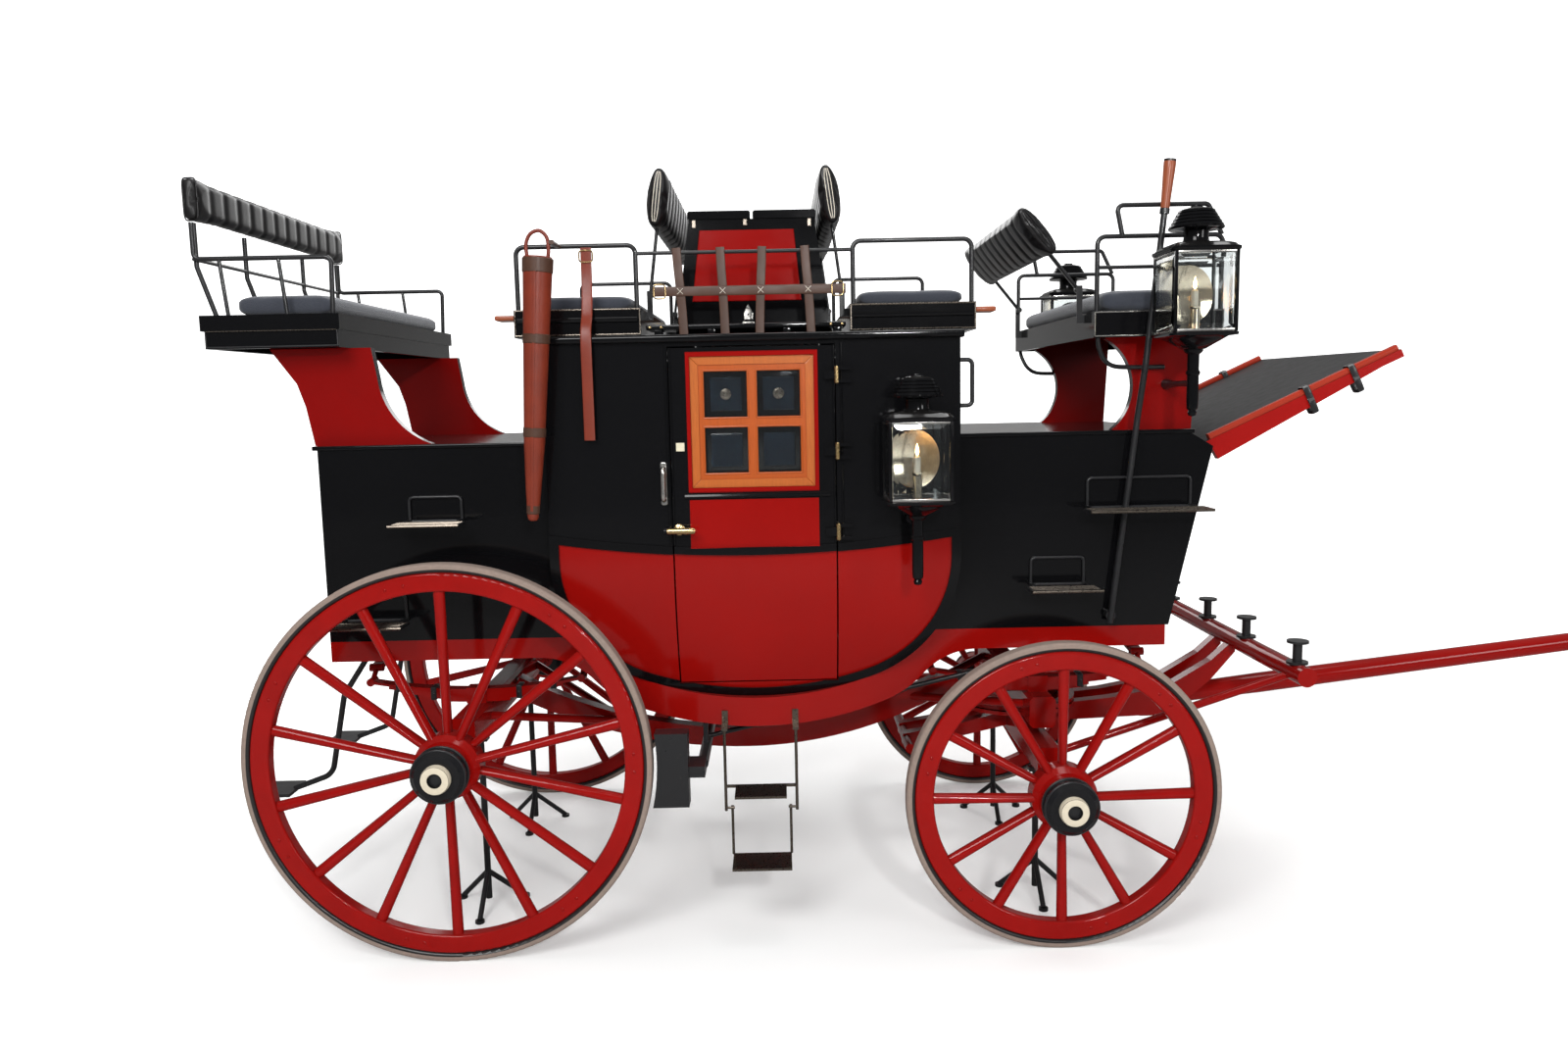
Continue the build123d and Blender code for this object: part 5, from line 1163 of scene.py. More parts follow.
@dataclass
class Lamp:
    """Square carriage lamp with bevelled panes, a candle and a vented chimney.

    Its heights are measured from the foot of the glass.
    """

    name: str
    side: Side
    x: float
    y: float
    glass_z: float
    stem_z: float
    arm_z: float
    wall_y: float
    half: float = 0.096
    glass: float = 0.236
    post: float = 0.005
    bead: float = 0.004
    bead_height: float = 0.007
    bevel: float = 0.018

    @property
    def tag(self) -> str:
        """Place and side of the lamp."""
        return f"{self.name}_{self.side.tag}"

    @property
    def centre(self) -> Point:
        """Middle of the glass's foot."""
        return (self.x, self.y * self.side.value, self.glass_z)

    def dress(self) -> None:
        """Builds the lamp's case, its panes and what stands inside."""
        case = [self.tray(), *self.posts(), *self.chimney(), self.stem(), self.arm()]
        merged(f"lamp_case_{self.tag}", case)
        merged(f"lamp_panes_{self.tag}", self.panes())
        merged(f"lamp_inside_{self.tag}", self.inside())

    def lathe(self, name: str, profile: list, finish: Finish, sides: int) -> Piece:
        """Piece turned about the lamp's upright middle line."""
        return turned(name, profile, self.centre, "Z", finish, "coach", sides)

    def tray(self) -> Piece:
        """Moulded tray under the glass."""
        h = self.half
        profile = [(0.02, -0.052, 2.2), (0.034, -0.05, 2.5), (h * 0.74, -0.022, 8),
                   (h * 0.84, -0.014, 12), (h + 0.004, -0.012, 18), (h + 0.006, -0.009, 20),
                   (h + 0.006, -0.003, 20), (h, 0.0, 20), (h - 0.01, 0.0, 20)]
        return squared("tray", profile, self.centre, Palette.BLACK, "coach")

    def posts(self) -> list[Piece]:
        """Four corner posts, with bright glazing beads along the glass's foot and head."""
        x, y, z = self.centre
        reach, length, edge = self.half - self.post, self.half - 0.01, self.half - self.bead
        pieces = []
        for sx, sy in ((1, 1), (-1, 1), (-1, -1), (1, -1)):
            pieces.append(slab(
                "post", about(x + sx * reach, self.post),
                about(y + sy * reach, self.post), (z - 0.001, z + self.glass + 0.001),
                Palette.BLACK, "coach", 0.0015))
        for low in (z, z + self.glass - self.bead_height):
            for sign in (-1, 1):
                for limits in ((about(x, length), about(y + sign * edge, self.bead)),
                               (about(x + sign * edge, self.bead), about(y, length))):
                    pieces.append(slab("bead", *limits, (low, low + self.bead_height),
                                       Palette.NICKEL, "coach", 0.001))
        return pieces

    def panes(self) -> list[Piece]:
        """Four panes whose faces slope to a bevelled border."""
        h, g, out = self.half - 0.011, self.glass, self.half - self.post
        u = np.array([-h, h, h, -h])
        w = np.array([0.004, 0.004, g - 0.004, g - 0.004])
        inner_u, inner_w = u - np.sign(u) * self.bevel, w + self.bevel * np.array([1, 1, -1, -1])
        rings = np.stack([
            np.stack([a, np.full(4, out + depth), b], -1)
            for a, b, depth in ((u, w, -0.0025), (u, w, -0.0008), (inner_u, inner_w, 0.0025))
        ])
        x, y, z = np.moveaxis(rings, -1, 0)
        pieces = []
        for index in range(4):
            c, s = math.cos(index * math.pi / 2), math.sin(index * math.pi / 2)
            grid = np.stack([x * c - y * s, x * s + y * c, z], -1) + np.array(self.centre)
            pieces.append(skin("pane", grid, Palette.GLASS, "coach", smooth=False))
        return pieces

    def inside(self) -> list[Piece]:
        """Candle tube, candle and a glowing flame that is painted light, silvered reflector dish
        and plate behind them.
        """
        tube_profile = [(0.004, 0.002), (0.026, 0.002), (0.026, 0.006), (0.015, 0.012),
                        (0.013, 0.07), (0.016, 0.074), (0.016, 0.08), (0.009, 0.08)]
        candle = [(0.004, 0.078), (0.0105, 0.078), (0.0105, 0.125), (0.006, 0.129),
                  (0.0015, 0.127), (0.0012, 0.138), (0.0006, 0.139)]
        flame = [(0.0008, 0.1305), (0.0042, 0.135), (0.0062, 0.142), (0.0052, 0.151),
                 (0.0028, 0.160), (0.0006, 0.168)]
        x, y, z = self.centre
        back, reach = self.half - 0.012, 0.0015
        plate = slab("back_plate", about(x - back, reach), about(y, back),
                     (z + 0.008, z + self.glass - 0.008), Palette.SILVER, "coach", 0.001)
        return [
            self.lathe("candle_tube", tube_profile, Palette.SILVER, 24),
            self.lathe("candle", candle, Palette.WAX, 24),
            self.lathe("flame", flame, Palette.FLAME, 20),
            self.reflector(), plate,
        ]

    def reflector(self) -> Piece:
        """Shallow oval dish: rings of the given radius, 1.18 times as high, at the given depth."""
        way, around = self.side.value, full_turn(32)
        depth = np.array([0.0, 0.004, 0.012, 0.024, 0.026, 0.014, 0.006, 0.002])[:, None]
        radius = np.array([0.004, 0.03, 0.055, 0.075, 0.077, 0.057, 0.031, 0.004])[:, None]
        across = way * (depth - (self.half - 0.014))
        grid = np.stack([
            radius * np.cos(around),
            np.broadcast_to(across, (len(depth), len(around))),
            self.glass / 2 + 1.18 * radius * np.sin(around),
        ], -1)
        return skin("reflector", grid + np.array(self.centre), Palette.SILVER, "coach")

    def chimney(self) -> list[Piece]:
        """Square crown that rounds into a drum of five vented tiers under a domed cap."""
        h = self.half
        crown = [(h - 0.01, -0.002, 20), (h + 0.004, 0.0, 20), (h + 0.007, 0.004, 20),
                 (h + 0.007, 0.012, 20), (h + 0.001, 0.014, 18), (h * 0.95, 0.022, 12),
                 (h * 0.80, 0.028, 5), (h * 0.55, 0.031, 2.6), (0.044, 0.033, 2)]
        drum = [(0.038, 0.031), (0.043, 0.033), (0.038, 0.037), (0.036, 0.05), (0.037, 0.066),
                (0.044, 0.070), (0.079, 0.072), (0.082, 0.076)]
        for tier in range(5):
            low, wide = 0.077 + 0.0105 * tier, 0.079 - 0.0062 * tier
            drum += [(wide, low), (wide + 0.001, low + 0.002), (wide - 0.002, low + 0.0085),
                     (wide - 0.0075, low + 0.0098)]
        drum += [(0.043, 0.131), (0.030, 0.134), (0.021, 0.135), (0.018, 0.138),
                 (0.0175, 0.1415), (0.003, 0.142)]
        crown = [(reach, self.glass + height, power) for reach, height, power in crown]
        drum = [(reach, self.glass + height) for reach, height in drum]
        return [squared("crown", crown, self.centre, Palette.BLACK, "coach"),
                self.lathe("drum", drum, Palette.BLACK, 40)]

    def stem(self) -> Piece:
        """Candle-spring tube under the tray, with turned rings."""
        drop = self.stem_z - self.glass_z
        profile = [(0.003, drop), (0.011, drop + 0.003), (0.014, drop + 0.012),
                   (0.011, drop + 0.018), (0.0165, drop + 0.024), (0.018, drop + 0.05),
                   (0.0175, -0.13), (0.021, -0.126), (0.021, -0.118), (0.0175, -0.114),
                   (0.0178, -0.066), (0.026, -0.06), (0.030, -0.052), (0.02, -0.05)]
        return self.lathe("stem", profile, Palette.BLACK, 32)

    def arm(self) -> Piece:
        """Iron bracket from the body to the stem."""
        start = (self.x, self.wall_y * self.side.value, self.arm_z)
        end = (self.x, self.centre[1], self.arm_z)
        radius = [0.018, 0.012, 0.0095, 0.0095, 0.0105, 0.012]
        return tube("arm", np.linspace(start, end, len(radius)), radius,
                    Palette.IRON, "coach", FORWARD)


@dataclass
class Backs:
    """Padded seat backs on their stays."""

    half: float = 0.545
    stay_y: float = 0.44
    stay_width: float = 0.026
    cord: float = 0.0012
    cord_offsets: Point = (-0.0095, 0.0, 0.0095)
    cord_height: float = 0.078

    def dress(self) -> None:
        """Replaces the plain CAD backs by leather pads, piping and stays."""
        self.hind()
        self.folding("roof_back_rear", (0.654, 2.126), (0.694, 2.424), self.half)
        self.folding("roof_back_front", (1.284, 2.126), (1.244, 2.424), self.half)
        self.folding("box_back", (2.065, 2.116), (1.915, 2.300), self.half - 0.03)

    def hind(self) -> None:
        """Full-width channelled pad behind the hind seat, with a piped edge at each end."""
        x, z = -0.764, 2.437
        pad = Pad("hind_back_pad", (x, 0.0, z), (0.071, 0.59, 0.026), Palette.PAD, "coach",
                  face="X", buttons=(1, 13), voxel=0.006).build()
        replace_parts(pad, "hind_back")
        turn = np.linspace(0, 2 * np.pi, 65)
        reach = superellipse(turn, 6)
        pieces = []
        for sign in (-1, 1):
            path = np.stack([x + 0.0222 * reach * np.cos(turn), np.full_like(turn, sign * 0.572),
                             z + 0.0652 * reach * np.sin(turn)], -1)
            pieces.append(tube("hind_piping", path, 0.0025, Palette.PAD, "coach", sides=8))
        merged("hind_back_piping", pieces)

    def folding(self, node: str, pivot: Pair, middle: Pair, half: float) -> None:
        """One folding back: pad, piping up its ends, and two flat stays with their eyes.

        Args:
            node: CAD node, which is also the name of its body.
            pivot: X and Z of the pivot.
            middle: X and Z of the pad's middle.
            half: half of the pad's width.
        """
        lean = math.atan2(middle[0] - pivot[0], middle[1] - pivot[1])
        pad = Pad(f"{node}_pad", (middle[0], 0.0, middle[1]), (0.1, half, 0.031), Palette.PAD,
                  node, lean=lean, face="X", power=2.6, buttons=(1, 11), voxel=0.006).build()
        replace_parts(pad, node)
        eye = [(0.0043, -0.013), (0.010, -0.013), (0.011, -0.011), (0.011, 0.011),
               (0.010, 0.013), (0.0043, 0.013)]
        pieces = []
        for y in (-self.stay_y, self.stay_y):
            path = np.linspace((pivot[0], y, pivot[1]), (middle[0], y, middle[1]), 8)
            pieces.append(strap("stay", path, self.stay_width, 0.010, Palette.IRON, node, ACROSS))
            pieces.append(turned("eye", eye, (pivot[0], y, pivot[1]), "Y", Palette.IRON, node, 24))
        merged(f"{node}_stays", pieces)
        self.piping(pad, node, middle, half, lean)

    def piping(
        self, pad: Piece, node: str, middle: Pair, half: float, lean: float
    ) -> None:
        """Three fine cords up each end of the pad, drawn together at top and bottom.

        Each cord's distance out is a sixth-degree curve fitted to the pad's swollen face.

        Args:
            pad: finished pad that the cords lie on.
            node: CAD body that they ride on.
            middle: X and Z of the pad's middle.
            half: half of the pad's width.
            lean: the pad's lean in radians.
        """
        finish = Palette.PAD if node == "box_back" else Palette.PIPING
        face = read_points(pad.data) - np.array([REAR_AXLE_X, 0.0, 0.0])
        share = np.linspace(-1, 1, 25)
        up = self.cord_height * share
        pieces = []
        for sign in (-1, 1):
            reach = face[:, 1] * sign
            for offset in self.cord_offsets:
                across = offset * (1.0 - 0.55 * share**4)
                x = middle[0] + across * math.cos(lean) + up * math.sin(lean)
                z = middle[1] + up * math.cos(lean) - across * math.sin(lean)
                near = np.hypot(x[:, None] - face[:, 0], z[:, None] - face[:, 2]) < 0.007
                out = np.max(np.where(near & (reach > half - 0.06), reach, 0.0), axis=1)
                out = np.where(out > 0, out, reach.max())
                out = np.polyval(np.polyfit(share, out, 6), share)
                path = np.stack([x, sign * (out + self.cord / 3), z], -1)
                pieces.append(tube("cord", path, self.cord, finish, node, sides=8))
        merged(f"{node}_piping", pieces)


@dataclass
class Cushions:
    """Cloth cushions on the seats: each one's name, X and Z, half length and half thickness."""

    half_width: float = 0.552
    outside: tuple[tuple, ...] = (
        ("roof_cushion_rear", 0.438, 2.0935, 0.178, 0.021),
        ("roof_cushion_front", 1.500, 2.0935, 0.178, 0.021),
        ("hind_cushion", -0.506, 2.1068, 0.162, 0.031),
        ("box_cushion", 2.2905, 2.0688, 0.1875, 0.033),
    )

    def dress(self) -> None:
        """Replaces the plain CAD cushions by stuffed ones."""
        pads = [
            Pad(name, (x, 0.0, z), (length, self.half_width, thick), Palette.CLOTH, "coach",
                swell=0.005).build()
            for name, x, z, length, thick in self.outside
        ]
        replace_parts(pads[0], "seat_cushions")
        self.inside()

    def inside(self) -> None:
        """Stuffed seats and buttoned backs in the cabin."""
        seats = []
        for name, back, sign in (("inside_rear", 0.349, 1), ("inside_front", 1.621, -1)):
            seats.append(Pad(
                f"{name}_seat", (back + sign * 0.2, 0.0, 1.214), (0.185, 0.54, 0.04),
                Palette.CLOTH, "coach", swell=0.006, voxel=0.01).build())
            Pad(f"{name}_back", (back + sign * 0.036, 0.0, 1.555), (0.222, 0.53, 0.03),
                Palette.CLOTH, "coach", face="X", buttons=(3, 8), swell=0.006, voxel=0.01).build()
        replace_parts(seats[0], "inside_cushions")


@dataclass
class Straps:
    """Luggage nets, hanging strap and umbrella case at the roof's sides."""

    net_x: tuple[float, ...] = (0.756, 0.894, 1.026, 1.160)
    net_lean: tuple[float, ...] = (0.017, 0.010, -0.012, 0.017)
    net_y: float = 0.5908
    net_ends: Pair = (0.678, 1.288)
    strap_z: float = 2.121
    thick: float = 0.0035
    stitch: float = 0.009
    hanging_x: float = 0.472
    case_foot: Point = (0.292, -0.702, 1.414)
    case_tilt: float = math.radians(3.7)

    def dress(self) -> None:
        """Builds the net on both sides and the gear on the right side."""
        net = merged("luggage_net", [piece for side in SIDES for piece in self.net(side)])
        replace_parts(net, "straps")
        self.hanging()
        self.umbrella()

    def umbrella(self) -> None:
        """Long tapered case of red leather, banded, sewn, and tied to the rail under its crook."""
        low = np.array(self.case_foot)
        along = np.array([math.sin(self.case_tilt), 0.0, math.cos(self.case_tilt)])
        share = np.array([0.0, 0.001, 0.004, 0.012, 0.03, 0.1, 0.25, 0.4, 0.6, 0.75, 0.79, 0.804,
                          0.81, 0.812])
        radius = np.array([0.004, 0.011, 0.0145, 0.0175, 0.019, 0.024, 0.0325, 0.036, 0.0405,
                           0.0442, 0.0455, 0.0455, 0.043, 0.006])
        pieces = [tube("case_body", low + share[:, None] * along, radius, Palette.TAN, "coach",
                       sides=32)]
        bands = ((0.022, 0.05, 0.0205), (0.262, 0.292, 0.0348), (0.548, 0.578, 0.0413),
                 (0.762, 0.806, 0.0468))
        for start, end, size in bands:
            band = np.array([start, start + 0.002, end - 0.002, end])
            width = size + np.array([-0.002, 0.0, 0.0006, -0.002])
            pieces.append(tube("case_band", low + band[:, None] * along, width,
                               Palette.BROWN, "coach", sides=32))
        sewn = np.linspace(0.03, 0.80, 30)
        seam = low + sewn[:, None] * along
        seam[:, 1] -= np.interp(sewn, share, radius)
        pieces.append(strap("case_seam", seam, 0.009, 0.003, Palette.TAN, "coach", FORWARD))
        crook = np.array([(-0.03, 0.0, 0.0), (-0.034, 0.0, 0.045), (-0.02, 0.0, 0.078),
                          (0.008, 0.0, 0.088), (0.03, 0.0, 0.068), (0.034, 0.0, 0.03),
                          (0.03, 0.0, 0.0)])
        pieces.append(tube("case_loop", smooth_path(low + 0.8 * along + crook), 0.0058,
                           Palette.TAN, "coach", sides=12))
        tie = np.linspace((0.388, -0.708, 2.265), (0.388, -0.5905, 2.265), 12)
        pieces.append(strap("case_tie", tie, 0.016, 0.013, Palette.BROWN, "coach", FORWARD))
        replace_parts(merged("umbrella_case_leather", pieces), "umbrella_case")

    def net(self, side: Side) -> list[Piece]:
        """Upright straps looped on the rail, a long strap through them, and its buckles."""
        y, way = self.net_y * side.value, side.value
        pieces = []
        for x, lean in zip(self.net_x, self.net_lean):
            path = smooth_path([
                (x + lean, y, 1.986), (x + lean * 0.8, y, 2.06),
                (x + lean * 0.5, y + 0.002 * way, 2.14), (x + lean * 0.2, y, 2.2), (x, y, 2.256),
            ], 6)
            pieces += self.cross(side, x + lean * 0.55)
            pieces.append(strap("net_up", path, 0.028, self.thick, Palette.BROWN, "coach", FORWARD))
        along = np.linspace(*self.net_ends, 40)
        weave = 0.00175 * np.cos((along - self.net_x[0]) / 0.134 * 2 * np.pi)
        path = np.stack([along, y + way * (self.thick + weave), self.strap_z + 0 * along], -1)
        pieces.append(strap("net_along", path, 0.030, self.thick, Palette.BROWN, "coach", UP))
        for x in (0.70, 1.262):
            pieces.append(self.buckle("net_buckle",
                                      (x, y + 0.005 * way, self.strap_z), 0.036, 0.044))
        return pieces

    def cross(self, side: Side, x: float) -> list[Piece]:
        """Two crossed stitches that hold an upright strap to the long one."""
        out, pieces = (self.net_y + 0.0085) * side.value, []
        for turn in (-1, 1):
            ends = [(x - self.stitch, out, self.strap_z - self.stitch * turn),
                    (x + self.stitch, out, self.strap_z + self.stitch * turn)]
            pieces += bars("stitch", ends, 0.0008, Palette.PIPING, "coach", False)
        return pieces

    def buckle(self, name: str, centre: Point, width: float, height: float) -> Piece:
        """Rounded wire frame: a tube carried round a superellipse in the X and Z plane."""
        turn, around = full_turn(32), full_turn(8)[None, :, None]
        reach = superellipse(turn, 5)
        ring = np.stack([width / 2 * reach * np.cos(turn), 0 * turn,
                         height / 2 * reach * np.sin(turn)], -1)
        out = ring / np.linalg.norm(ring, axis=1, keepdims=True)
        wire = np.cos(around) * out[:, None] + np.sin(around) * np.array(ACROSS)
        grid = ring[:, None] + 0.0024 * wire + np.array(centre)
        return skin(name, grid, Palette.BRASS, "coach", True)

    def hanging(self) -> None:
        """Strap with a buckle that hangs from the rear roof seat's rail."""
        x, y = self.hanging_x, -0.5925
        path = smooth_path([(x, y, 2.262), (x, y - 0.001, 2.16), (x + 0.001, -0.62, 2.06),
                            (x, -0.655, 1.985), (x, -0.656, 1.83), (x, -0.655, 1.66)], 10)
        merged("hanging_strap", [
            strap("hanging_leather", path, 0.034, 0.004, Palette.TAN, "coach", FORWARD),
            self.buckle("hanging_buckle", (x, y - 0.004, 2.235), 0.042, 0.036),
        ])


@dataclass
class Door:
    """Fittings of one door: sash, shutters, beads, handle, plates and hinge knuckles."""

    side: Side
    mid_x: float = 0.985
    wall_y: float = 0.630
    board_y: Pair = (0.5965, 0.602)
    pane: Pair = (0.138, 0.146)
    spacing: Pair = (0.168, 0.177)
    window_z: Pair = (1.488, 1.927)
    edges_x: Pair = (0.7265, 1.2435)
    sill_z: float = 1.4735
    handle_z: float = 1.368
    hinge: Pair = (1.2525, 0.643)
    hinges_z: tuple[float, ...] = (1.352, 1.610, 1.850)

    @property
    def body(self) -> str:
        """CAD body of the door."""
        return f"door_{self.side.tag}"

    @property
    def middle_z(self) -> float:
        """Height of the window's middle."""
        return sum(self.window_z) / 2

    def dress(self) -> None:
        """Builds the door's fittings."""
        merged(f"{self.body}_shutters", self.shutters())
        merged(f"{self.body}_sash_beads", self.sash())
        merged(f"{self.body}_beads", self.beads())
        merged(f"{self.body}_metalwork", self.metalwork())

    def pane_centres(self) -> Array:
        """X and Z of the four panes."""
        x, z = self.spacing[0] / 2, self.spacing[1] / 2
        middle = np.array([self.mid_x, self.middle_z])
        return middle + np.array([[-x, -z], [x, -z], [-x, z], [x, z]])

    def rectangle(self, x: float, z: float, half_x: float, half_z: float, y: float) -> Array:
        """Four corners of an upright rectangle on this side."""
        corner = np.array([[-1, 0, -1], [1, 0, -1], [1, 0, 1], [-1, 0, 1]])
        corner = corner * np.array([half_x, 0, half_z])
        return on_side(corner + np.array([x, y, z]), self.side)

    def plate(
        self, name: str, corners: Array, thick: float, finish: Finish, ease: float = 0.0015
    ) -> Piece:
        """Plate on the door's outer face."""
        return raised(name, corners, self.side.out, thick, finish, self.body, ease)

    def lathe(
        self, name: str, profile: list, centre: Point, axis: str, finish: Finish, sides: int
    ) -> Piece:
        """Turned fitting at a left-side place, standing out of the door or upright."""
        x, y, z = centre
        way = self.side.value if axis == "Y" else 1.0
        return turned(name, profile, (x, y * self.side.value, z), axis, finish,
                      self.body, sides, way)

    def shutters(self) -> list[Piece]:
        """Black board behind the glass, a bevelled field at each pane, and two knobs."""
        x, z, face = self.mid_x, self.middle_z, self.board_y[1]
        knob = [(0.003, 0.006), (0.0175, 0.006), (0.018, 0.0075), (0.0165, 0.0095),
                (0.011, 0.0108), (0.003, 0.0112)]
        pieces = [slab("board", about(x, 0.182), span(*self.board_y, self.side),
                       about(z, 0.186), Palette.BLACK, self.body)]
        for x, height in self.pane_centres():
            corners = self.rectangle(x, height, 0.051, 0.0545, face)
            pieces.append(self.plate("field", corners, 0.0065, Palette.SHUTTER, 0.005))
            if height > z:
                pieces.append(self.lathe("knob", knob, (x, face, height), "Y", Palette.STEP, 28))
        return pieces

    def sash(self) -> list[Piece]:
        """Raised outer frame with mitred corners, in a lighter copy of the sash wood that is a
        painted highlight, and a rounded bead round each pane.
        """
        outer = self.rectangle(self.mid_x, self.middle_z, 0.1955, 0.207, 0.6238)
        inner = self.rectangle(self.mid_x, self.middle_z, 0.170, 0.1815, 0.6238)
        pieces = []
        for index in range(4):
            after = (index + 1) % 4
            corners = np.array([outer[index], outer[after], inner[after], inner[index]])
            # The outer frame's lighter wood is a painted highlight.
            pieces.append(self.plate("stile", corners, 0.0042, Palette.SASH_PAINTED_HIGHLIGHT, 0.002))
        half_x, half_z = (size / 2 + 0.002 for size in self.pane)
        for x, height in self.pane_centres():
            ring = self.rectangle(x, height, half_x, half_z, 0.6235)
            pieces += bars("pane_bead", ring, 0.0032, Palette.SASH, self.body)
        return pieces

    def beads(self) -> list[Piece]:
        """Round bar under the window and upright beads along the door's edges."""
        y = self.wall_y
        lines = [("sill", [(0.764, y, self.sill_z), (1.228, y, self.sill_z)], 0.0085)]
        lines += [(f"edge_{index}", [(x, y, 1.318), (x, y, 1.944)], 0.0042)
                  for index, x in enumerate(self.edges_x)]
        pieces = []
        for name, ends, radius in lines:
            pieces += bars(f"{self.body}_{name}", on_side(ends, self.side), radius, Palette.BLACK,
                           self.body, False)
        return pieces

    def metalwork(self) -> list[Piece]:
        """Tapered handle on its rose, ivory plate and brass hinge knuckles."""
        swell = np.array([0.003, 0.0085, 0.0096, 0.0096, 0.0098, 0.0101, 0.0104, 0.0107, 0.011,
                          0.0113, 0.0115, 0.0114, 0.0095, 0.003])
        z = self.handle_z
        grip = np.linspace((0.6968, 0.670, z), (0.8018, 0.670, z), len(swell))
        rose = [(0.0095, -0.001), (0.018, -0.001), (0.018, 0.0025), (0.0155, 0.004),
                (0.0105, 0.0055), (0.0098, 0.03), (0.0075, 0.031)]
        knuckle = [(0.0035, -0.027), (0.0055, -0.027), (0.0076, -0.0245), (0.0076, 0.0245),
                   (0.0055, 0.027), (0.0035, 0.027)]
        ivory = self.rectangle(0.7535, 1.632, 0.0135, 0.0135, self.wall_y)
        pieces = [
            tube("grip", on_side(grip, self.side), swell, Palette.BRASS, self.body,
                 UP, 20),
            self.lathe("rose", rose, (0.7425, self.wall_y, z), "Y", Palette.BRASS, 32),
            self.plate("plate", ivory, 0.0035, Palette.IVORY),
        ]
        for z in self.hinges_z:
            pieces.append(self.lathe("knuckle", knuckle, (*self.hinge, z), "Z", Palette.BRASS, 20))
        return pieces


@dataclass
class CabinTrim:
    """Beads beside the doors, grab pulls, and the slatted rack on the roof."""

    wall_y: float = 0.630
    pull_x: float = 0.698
    bearers_x: tuple[float, ...] = (0.690, 0.860, 1.100, 1.262)
    slats_y: tuple[float, ...] = (0.478, 0.511, 0.544, 0.577)
    slat_ends: Pair = (0.652, 1.288)

    def dress(self) -> None:
        """Builds the trim on both sides."""
        for side in SIDES:
            merged(f"cabin_beads_{side.tag}", self.beads(side))
            merged(f"grab_pull_{side.tag}", self.pull(side))
            merged(f"roof_rack_{side.tag}", self.rack(side))

    def beads(self, side: Side) -> list[Piece]:
        """Upright beads on the wall beside the door."""
        pieces = []
        for x in (0.7135, 1.2675):
            path = on_side([(x, self.wall_y, 1.322), (x, self.wall_y, 1.95)], side)
            pieces += bars("wall_bead", path, 0.0042, Palette.BLACK, "coach", False)
        return pieces

    def pull(self, side: Side) -> list[Piece]:
        """Nickel grab bar on a rounded backplate."""
        x, y = self.pull_x, self.wall_y
        corner = [(-0.010, 1.452), (-0.006, 1.448), (0.006, 1.448), (0.010, 1.452),
                  (0.010, 1.580), (0.006, 1.584), (-0.006, 1.584), (-0.010, 1.580)]
        plate = on_side([(x + across, y, z) for across, z in corner], side)
        bar = [(0.0, 1.466), (0.020, 1.466), (0.030, 1.476), (0.0305, 1.516), (0.030, 1.556),
               (0.020, 1.566), (0.0, 1.566)]
        path = on_side(smooth_path([(x, y + out, z) for out, z in bar], 6), side)
        return [
            raised("pull_plate", plate, side.out, 0.003, Palette.NICKEL, "coach"),
            tube("pull_bar", path, 0.0078, Palette.NICKEL, "coach", FORWARD),
        ]

    def rack(self, side: Side) -> list[Piece]:
        """Black slats on bearers between the roof seats, with brass studs in their outer edge as a
        painted highlight.
        """
        pieces = []
        for x in self.bearers_x:
            pieces.append(slab("bearer", about(x, 0.012),
                               span(0.468, 0.586, side), (1.9845, 2.003), Palette.BLACK, "coach"))
        for y in self.slats_y:
            pieces.append(slab("slat", self.slat_ends,
                               span(y - 0.010, y + 0.008, side), (2.002, 2.019), Palette.BLACK,
                               "coach", 0.005))
        # Brass studs where the outer slat's ends show copper highlights: a painted highlight.
        ends = on_side([(x, 0.5855, 2.0105) for x in (0.664, 0.70, 1.24, 1.276)], side)
        pieces.append(studs("slat_highlight_studs", ends, side.out, 0.005, 0.003, Palette.BRASS, "coach"))
        return pieces


